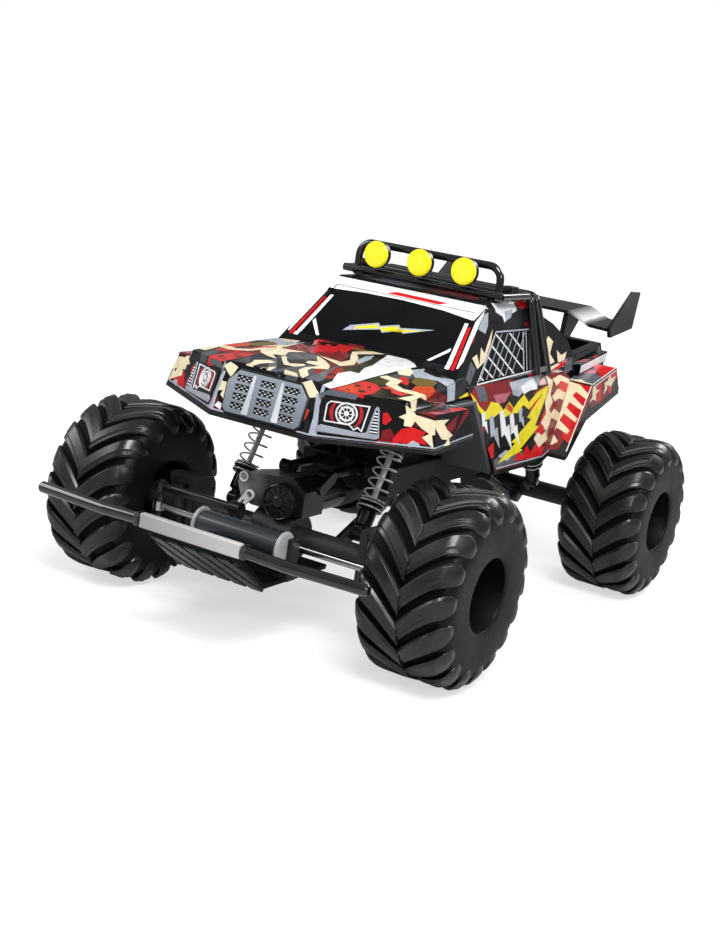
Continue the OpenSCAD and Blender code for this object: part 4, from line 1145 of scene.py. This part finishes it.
def motor_vents(end, axle, black):
    face = axle_place(axle) @ Matrix.Rotation(math.pi / 2, 4, "X")
    b = Builder()
    cap = face @ Matrix.Translation((4, 21.5, 13.5))
    for i in range(12):
        b.place = cap @ Matrix.Rotation(i * math.pi / 6, 4, "Z")
        b.box(5.2, 9.4, -0.8, 0.8, -0.6, 0.9)
    b.place = cap
    b.lathe([(0, -0.5), (3.6, -0.5), (3.6, 0.8), (3.0, 1.2), (1.6, 1.2), (1.5, 0.7), (0, 0.7)], 24)
    b.lathe([(9.6, -0.5), (9.6, 0.9), (10.1, 1.2), (10.7, 0.9), (10.7, -0.5)], 48, closed=True)
    b.piece(end + "_motor_vents", "black_chassis", black, 30, 0.15)


# ---- Front end -----------------------------------------------------------------------------

def bumper():
    gloss = moulded("black_gloss_tube", (0.008, 0.008, 0.009), rough=0.14, grain=0.02, coat=1.0)
    # painted shading: the plate is darker towards the truck's right and paler towards its left
    plate = painted_light_gradient("silver_plate", (0.34, 0.33, 0.33), (0.62, 0.60, 0.59), -0.036, 0.034,
                   rough=0.38, axis=0)
    y = FRONT / MM - 91.8
    z = AXLE / MM + 12
    b = Builder()
    for side in (1, -1):
        path = rounded([(side * 34.9, y, z + 0.8), (side * 62, y, z), (side * 109.6, y + 3.3, z)],
                       30)
        path.append((side * 111.6, y + 3.4, z))
        path.append((side * 112.8, y + 3.5, z))
        b.tube(path, lambda t: 3.45 if t < 0.9999 else 2.6, 20)
    b.piece("bumper_tube_shape", "black_gloss", gloss, 35, 0.2, node="bumper_tubes")
    cad_copy("bumper_plate", plate, 0.9, 3)
    # clips that hold the tube behind each end of the plate
    b = Builder()
    for side in (1, -1):
        x = sorted((side * 35.2, side * 38.4))
        b.box(*x, y - 3.44, y + 4.1, z - 3.3, z + 4.9)
    b.piece("bumper_clips", "black_gloss", gloss, 30, 1.2, 3)


def skid():
    # painted light and shade: the ribs are a lighter grey copy of the plate's black plastic, so they
    # read as lit and the plate between them as shaded
    black = Finish("skid_plastic", (0.0012, 0.0013, 0.0015), rough=0.5, specular=0.15).mottle()
    ribs = moulded("skid_rib_plastic", (0.030, 0.034, 0.038), rough=0.3, grain=0.08)
    cad_copy("skid_plate", black, 0.6)
    # broad ribs that run slantwise over the sloping face, with narrow grooves between them
    low, high = Vector((0, -57, -17.8)), Vector((0, -90, 6))
    rise = (high - low).length
    b = Builder(frame_of(at(0, low.y, low.z), (1, 0, 0), high - low))
    for i in range(8):
        x = -53 + 11.6 * i
        rib = [(x + 17, 0.8), (x + 25.6, 0.8), (x + 8.6, rise - 1.6), (x, rise - 1.6)]
        for a, c in (((-30.2, 60), (-30.2, 0)), ((30.2, 0), (30.2, 60))):
            rib = clip(rib, a, c)
        if len(rib) > 2:
            b.prism(rib, -0.6, 1.5)
    b.piece("skid_ribs", "black_chassis", ribs, 30, 0.3)


def winch():
    # painted highlight: the drum is near black below and lighter grey towards its top
    drum = painted_light_gradient("drum_grey", (0.004, 0.005, 0.006), (0.030, 0.036, 0.043),
                  AXLE + 0.003, AXLE + 0.016, rough=0.24, coat=0.3)
    cap = moulded("cap_silver", (0.40, 0.41, 0.42), rough=0.2, grain=0.04, coat=0.5)
    black = moulded("winch_black", (0.010, 0.010, 0.012), rough=0.3)
    cad_copy("winch_frame", black, 0.4)
    turn = Matrix.Rotation(math.pi / 2, 4, "Y")
    place = Matrix.Translation(middle("winch_drum") / MM) @ turn
    b = Builder(place)
    b.lathe([(0, -28.8), (7.9, -28.8), (7.9, -27.6), (8.45, -27), (8.45, 27), (7.9, 27.6),
             (7.9, 28.8), (0, 28.8)], 64)
    b.paint = 1
    for side in (1, -1):
        b.place = place @ Matrix.Scale(side, 4, (0, 0, 1))
        b.lathe([(0, 28.6), (9.6, 28.6), (9.95, 29), (9.95, 29.8), (9.3, 30.6), (7.6, 31.2),
                 (3.4, 31.35), (0, 31.35)], 48)
    b.piece("winch_drum_shape", "blue_grey_trim", (drum, cap), 30, 0.15, node="winch_drum")
    # toothed rail behind the drum, between the frame's posts
    b = Builder()
    y, z = FRONT / MM - 33, AXLE / MM + 10
    b.box(-31.5, 31.5, y - 1.6, y + 1, z - 1.6, z)
    for i in range(11):
        x = -27.5 + 5.5 * i
        b.box(x - 1.5, x + 1.5, y - 1.6, y + 1, z, z + 1.7)
    b.piece("winch_rail", "black_chassis", black, 30, 0.3)


# ---- Roof, hoop, roll bar and wing ---------------------------------------------------------

TUBE_R = 2.6
RACK_Z, RACK_X, RACK_FRONT = 151.5, 58.5, 132
HOOP_BACK, HOOP_X, HOOP_Z = 138.2, 53.3, 169.8
LAMP_STEP, LAMP_Z, LAMP_FRONT = 32.8, 164, 122.5


def points(*triples, axle=FRONT):
    """Millimetre points from x, distance behind an axle, and height over the axles."""
    return [Vector((x, axle / MM + d, AXLE / MM + z)) for x, d, z in triples]


def roof_rack(gloss):
    span = (REAR - FRONT) / MM
    b = Builder()
    b.tube(points((-60, RACK_FRONT, RACK_Z), (-59, RACK_FRONT, RACK_Z), (59, RACK_FRONT, RACK_Z),
                  (60, RACK_FRONT, RACK_Z)), TUBE_R, 20)
    b.tube(points((-58, RACK_FRONT + 26, RACK_Z), (58, RACK_FRONT + 26, RACK_Z)), TUBE_R, 20)
    for s in (1, -1):
        b.tube(points((s * RACK_X, RACK_FRONT, RACK_Z), (s * RACK_X, span - 112, RACK_Z)),
               TUBE_R, 20)
        for d in (RACK_FRONT, RACK_FRONT + 26):
            y = FRONT / MM + d
            b.box(s * 47 - 3, s * 47 + 3, y - 2, y + 2, AXLE / MM + 147.6, AXLE / MM + RACK_Z)
    y, z = FRONT / MM + RACK_FRONT + 17, AXLE / MM + RACK_Z
    for s in (1, -1):
        b.box(s * 54 - 3, s * 54 + 3, y, y + 11, z + 1.2, z + 5.6)
        for i in range(4):
            b.box(s * 54 - 3.5, s * 54 + 3.5, y + 0.8 + 2.8 * i, y + 2.2 + 2.8 * i, z + 1.2, z + 6.4)
    b.piece("roof_rack_shape", "black_gloss", gloss, 35, 0.25, node="roof_rack")


def light_hoop(gloss):
    b = Builder()
    side = [(HOOP_X, 147.5), (HOOP_X, HOOP_Z), (-HOOP_X, HOOP_Z), (-HOOP_X, 147.5)]
    path = rounded(points(*((x, HOOP_BACK, z) for x, z in side)), 9, 8)
    b.tube(path, TUBE_R - 0.02, 20)
    b.piece("light_hoop_shape", "black_gloss", gloss, 35, node="light_hoop")


def roll_bar(gloss):
    b = Builder()
    for foot, top, r in ((-101.5, -108, TUBE_R), (-84.5, -99, TUBE_R + 0.5)):
        corner = [(70.4, foot, 100), (RACK_X, top, RACK_Z), (-RACK_X, top, RACK_Z),
                  (-70.4, foot, 100)]
        b.tube(rounded(points(*corner, axle=REAR), 6, 6), r - 0.02, 20)
        for s in (1, -1):
            b.tube(points((s * 68.4, foot, 100.5), (s * 70.4, foot, 100.5), axle=REAR), 2, 16)
    y = REAR / MM
    for s in (1, -1):
        b.box(s * RACK_X - 2, s * RACK_X + 2, y - 108, y - 99, AXLE / MM + 150, AXLE / MM + 153)
        x = sorted((s * 68.4, s * 71.4))
        b.box(*x, y - 101.5, y - 84.5, AXLE / MM + 102, AXLE / MM + 106)
    b.piece("roll_bar_shape", "black_gloss", gloss, 35, 0.25, node="roll_bar")


def tubes():
    gloss = moulded("rack_gloss", (0.008, 0.008, 0.009), rough=0.13, grain=0.02, coat=1.0)
    roof_rack(gloss)
    light_hoop(gloss)
    roll_bar(gloss)


def lamps():
    yellow = Finish("lamp_yellow", (0.92, 0.80, 0.01), rough=0.22, specular=0.3)
    dots = yellow.node("TexVoronoi", out="Distance", Vector=yellow.where, Scale=560.0,
                       Randomness=0.2)
    glow = yellow.ramp(dots, [(0.10, (0.98, 0.93, 0.12)), (0.5, (0.88, 0.74, 0.005))])
    yellow.set("Base Color", glow)
    # painted glow: the yellow lenses give off a little light of their own so they look brighter,
    # though the lamps are not lit
    yellow.set("Emission Color", glow)
    yellow.set("Emission Strength", 0.22)
    yellow.bump(dots, 0.35, 0.0003)
    black = moulded("lamp_black", (0.012, 0.012, 0.014), rough=0.25, grain=0.04)
    front = FRONT / MM + LAMP_FRONT
    turn = Matrix.Rotation(-math.pi / 2, 4, "X")
    b = Builder()
    for i in (-1, 0, 1):
        x = i * LAMP_STEP
        b.place = Matrix.Translation((x, front, AXLE / MM + LAMP_Z)) @ turn
        b.paint = 1
        b.lathe([(0, 9.9), (5.6, 9.9), (6.1, 9.4), (6.3, 7.2), (8.6, 6.8), (9.1, 6.2), (9.2, 4.6),
                 (9.0, 3.0), (8.6, 2.6), (0, 2.6)], 48)
        b.paint = 0
        b.lathe([(0, 3.2), (8.8, 3.2), (8.9, 2.2), (8.7, 1.2), (8.1, 0.6), (6.4, 0.3), (4.3, 0.15),
                 (2.1, 0.05), (0, 0.02)], 40)
        b.paint = 1
        b.place = Matrix.Identity(4)
        y = front
        b.box(x - 2.2, x + 2.2, y + 6, y + HOOP_BACK - LAMP_FRONT - TUBE_R, AXLE / MM + 159,
              AXLE / MM + HOOP_Z)
    b.piece("roof_lamp_shape", "yellow_lamp", (yellow, black), 14, 0.12, node="roof_lamps")


def wing():
    blade = Finish("wing_black", (0.008, 0.008, 0.009), rough=0.3, specular=0.25)
    reach = blade.math("ABSOLUTE", blade.node("SeparateXYZ", Vector=blade.where))
    wave = blade.math("MULTIPLY_ADD", blade.noise(60, 2), 0.002, reach)
    t = blade.node("MapRange", Value=wave, From_Min=0.030, From_Max=0.078)
    # a painted highlight: black in the middle, pale towards each end and black again at the tips
    shades = [(0.0, (0.006, 0.006, 0.007)), (0.25, (0.010, 0.010, 0.011)),
              (0.34, (0.20, 0.20, 0.21)), (0.55, (0.85, 0.85, 0.85)),
              (0.60, (0.16, 0.16, 0.16)), (0.64, (0.008, 0.008, 0.009))]
    blade.set("Base Color", blade.ramp(t, shades))
    blade.bump(blade.noise(900, 2), 0.06, 0.0001)
    cad_copy("wing_blade", blade, 0.5, 2, 12)
    # painted highlight: the black end plates grow lighter towards their tops
    plate = painted_light_gradient("plate_charcoal", (0.005, 0.005, 0.006), (0.040, 0.042, 0.045),
                   AXLE + 0.138, AXLE + 0.158, rough=0.3)
    cad_copy("wing_end_plates", plate, 0.6)
    gloss = moulded("strut_gloss", (0.011, 0.011, 0.013), rough=0.2, grain=0.04)
    cad_copy("wing_struts", gloss, 0.5)


# ---- Body ----------------------------------------------------------------------------------

def body():
    paint = camouflage("body_camouflage", [
        (0.0, BLACK), (0.32, CHARCOAL), (0.43, (0.13, 0.008, 0.010)), (0.52, BLACK),
        (0.66, (0.30, 0.010, 0.013)), (0.72, BLACK), (0.80, (0.07, 0.078, 0.09)), (0.86, BLACK)])
    shell = cad_copy("body_shell", paint, 0.8, 3)
    roof = camouflage("cab_camouflage", [
        (0.0, BLACK), (0.36, CHARCOAL), (0.48, (0.14, 0.010, 0.012)), (0.56, BLACK),
        (0.74, (0.06, 0.065, 0.075)), (0.82, BLACK)])
    cab = cad_copy("cab_shell", roof, 0.6, 3)
    trim = moulded("edge_trim", (0.006, 0.006, 0.007), rough=0.3, grain=0.06)
    cad_copy("lower_trim", trim, 0.5)
    for name, _ in SIDES:
        # painted shade: the arch liners are darker towards the bottom and lighter towards the top
        liner = painted_light_gradient(name + "_liner_charcoal", (0.010, 0.011, 0.013), (0.065, 0.072, 0.082),
                       AXLE + 0.035, AXLE + 0.085, rough=0.4)
        cad_copy(name + "_arch_liner", liner, 0.6)
    return shell, cab


def glass():
    dark = Finish("dark_window", (0.003, 0.0033, 0.004), rough=0.12, specular=0.16)
    dark.mottle(0.3, 30, 0.03)
    dark.bump(dark.noise(14, 1), 0.02, 0.0004)
    cad_copy("rear_window", dark, 0.2)
    screen = cad_copy("windscreen", dark, 0.2)
    sides = [cad_copy(name + "_side_window", dark, 0.2)
             for name, _ in SIDES]
    return screen, sides


GRILLE_SLOTS = [(x, 5.85 + 5.4 * row) for x in (-16.4, 0, 16.4) for row in range(4)]


def grille():
    # painted shade: the grille's face is darker towards the bottom and lighter towards the top
    face = painted_light_gradient("grille_blue_grey", (0.13, 0.15, 0.18), (0.27, 0.31, 0.36),
                  AXLE + 0.070, AXLE + 0.098, rough=0.3)
    black = moulded("grille_black", (0.006, 0.006, 0.007), rough=0.4, grain=0.05)
    pale = moulded("grille_pale", (0.62, 0.65, 0.69), rough=0.3, grain=0.04)
    cad_copy("grille", face, 0.45, 3)
    b = Builder(nose_face())
    b.prism([(-23, 2.2), (23, 2.2), (25.6, 4), (26.2, 19.4), (20.4, 25.6), (-20.4, 25.6),
             (-26.2, 19.4), (-25.6, 4)], 0.02, 0.5)
    b.piece("grille_backing", "blue_grey_trim", black, 30)
    # woven mesh in the slots: short strands that pass over and under
    b = Builder(nose_face())
    for x, y in GRILLE_SLOTS:
        for row in range(3):
            for i in range(6):
                if (i + row) % 2:
                    cx, cy = x - 4.5 + 1.8 * i, y - 1.15 + 1.15 * row
                    b.box(cx - 0.62, cx + 0.62, cy - 0.36, cy + 0.36, 0.45, 1.0)
    b.piece("grille_mesh", "blue_grey_trim", pale, 30, 0.12)
    b = Builder(nose_face())
    for s in (1, -1):
        rib = [(s * 8.2, 1.8), (s * 12.6, 1.8), (s * 10.4, 25.2), (s * 8.9, 25.2)]
        b.prism(rib if s > 0 else rib[::-1], 1.2, 2.7)
    b.piece("grille_ribs", "blue_grey_trim", pale, 30, 0.45, 3)
    # dark lip around the grille
    b = Builder(nose_face())
    outline = [(-24.4, 0.6), (24.4, 0.6), (27.2, 3.2), (27.9, 20.1), (21.3, 27.3), (-21.3, 27.3),
               (-27.9, 20.1), (-27.2, 3.2)]
    b.tube([(x, y, 0.35) for x, y in outline + outline[:2]], 0.6, 8)
    b.piece("grille_lip", "blue_grey_trim", black, 60)


LAMP_FRAME = [(6.3, 9.8), (20.6, 9.4), (23.5, 7.0), (25.4, 8.6), (27.9, 6.8), (30.6, 21.1),
              (8.6, 21.1), (6.7, 19.4)]
LAMP_BEZEL = [(3.0, 3.2), (36.6, 3.2), (38.3, 4.6), (36.3, 20.6), (35.2, 22), (33.8, 20.8),
              (30.6, 6.6), (28, 5.8), (4.6, 7.6), (2.8, 6.2)]
REFLECTOR = (18.2, 15.4)


def band(b, outline, wide, z0, z1):
    """A raised line that follows a closed outline."""
    n = len(outline)
    rings = [[], []]
    for i, p in enumerate(outline):
        a, c = Vector(outline[i - 1]), Vector(outline[(i + 1) % n])
        p = Vector(p)
        u, v = (p - a).normalized(), (c - p).normalized()
        side = Vector((-u.y - v.y, u.x + v.x)) / (1 + u.dot(v))
        rings[0].append(p - side * wide / 2)
        rings[1].append(p + side * wide / 2)
    for i in range(n):
        k = (i + 1) % n
        quad = [rings[0][i], rings[0][k], rings[1][k], rings[1][i]]
        b.prism([tuple(q) for q in quad], z0, z1)


def arc(b, centre, radius, wide, start, end, z0, z1):
    """A raised band along part of a circle, which narrows to its ends."""
    inner, outer, steps = [], [], 12
    for i in range(steps + 1):
        w = math.radians(start + (end - start) * i / steps)
        c, d = math.cos(w), math.sin(w)
        taper = wide * (0.35 + 0.65 * math.sin(math.pi * i / steps))
        inner.append((centre[0] + (radius - taper / 2) * c, centre[1] + (radius - taper / 2) * d))
        outer.append((centre[0] + (radius + taper / 2) * c, centre[1] + (radius + taper / 2) * d))
    b.prism(outer + inner[::-1], z0, z1)


def headlights():
    panel = moulded("lamp_panel_black", (0.008, 0.008, 0.010), rough=0.2, grain=0.03)
    white = moulded("lamp_white", (0.84, 0.84, 0.85), rough=0.25, grain=0.03, coat=0.5)
    red = moulded("lamp_red", (0.45, 0.012, 0.014), rough=0.25, grain=0.03, coat=0.5)
    grey = moulded("lamp_bezel_grey", (0.33, 0.36, 0.41), rough=0.3, grain=0.05)
    for name, side in SIDES:
        cad_copy(name + "_headlight", panel, 0.35)
        b = Builder(Matrix.Scale(side, 4, (1, 0, 0)) @ facet_face())
        band(b, LAMP_FRAME, 0.8, 1.2, 2.0)
        x, y = REFLECTOR
        home = b.place
        b.place = home @ Matrix.Translation((x, y, 0))
        b.lathe([(5.2, 0.9), (5.5, 1.9), (6.3, 2.0), (6.5, 0.9)], 40, closed=True)
        b.lathe([(3.1, 0.9), (3.3, 1.6), (4.2, 1.7), (4.5, 0.9)], 36, closed=True)
        b.lathe([(0, 0.9), (1.7, 0.9), (1.7, 1.6), (1.2, 2.0), (0, 2.0)], 6)
        for i in range(8):
            b.place = (home @ Matrix.Translation((x, y, 0)) @
                       Matrix.Rotation(math.pi * i / 4, 4, "Z"))
            b.box(1.9, 5.0, -0.28, 0.28, 0.9, 1.4)
        b.piece(name + "_lamp_whites", "blue_grey_trim", white, 30, 0.15)
        b = Builder(home)
        arc(b, REFLECTOR, 8.6, 2.2, 128, 232, 0.9, 1.6)
        arc(b, REFLECTOR, 8.6, 2.2, -52, 48, 0.9, 1.6)
        b.piece(name + "_lamp_reds", "blue_grey_trim", red, 30, 0.2)
        b = Builder(home)
        b.prism(LAMP_BEZEL, 1.0, 2.1)
        b.piece(name + "_lamp_bezel", "blue_grey_trim", grey, 30, 0.45, 3)
        b = Builder(home)
        b.prism([(32, 6.6), (37.1, 6.2), (35.5, 19.6), (34.6, 19.6)], 2.0, 2.25)
        b.piece(name + "_lamp_slot", "blue_grey_trim", panel, 30, 0.08)
        b = Builder(home)
        for i in range(7):
            y = 7.3 + 1.75 * i
            t = (y - 6.4) / 13.2
            b.box(32.2 + 2.2 * t, 36.9 - 1.3 * t, y - 0.4, y + 0.4, 2.1, 2.6)
        b.piece(name + "_lamp_slats", "blue_grey_trim", white, 30, 0.15)


bpy.context.scene.view_settings.view_transform = "Standard"
camera()
background()
studio_lights()
floor()
wheels()
running_gear()
bumper()
skid()
winch()
tubes()
lamps()
wing()
shell, cab = body()
screen, side_panes = glass()
grille()
headlights()
films(shell, cab, screen, side_panes)
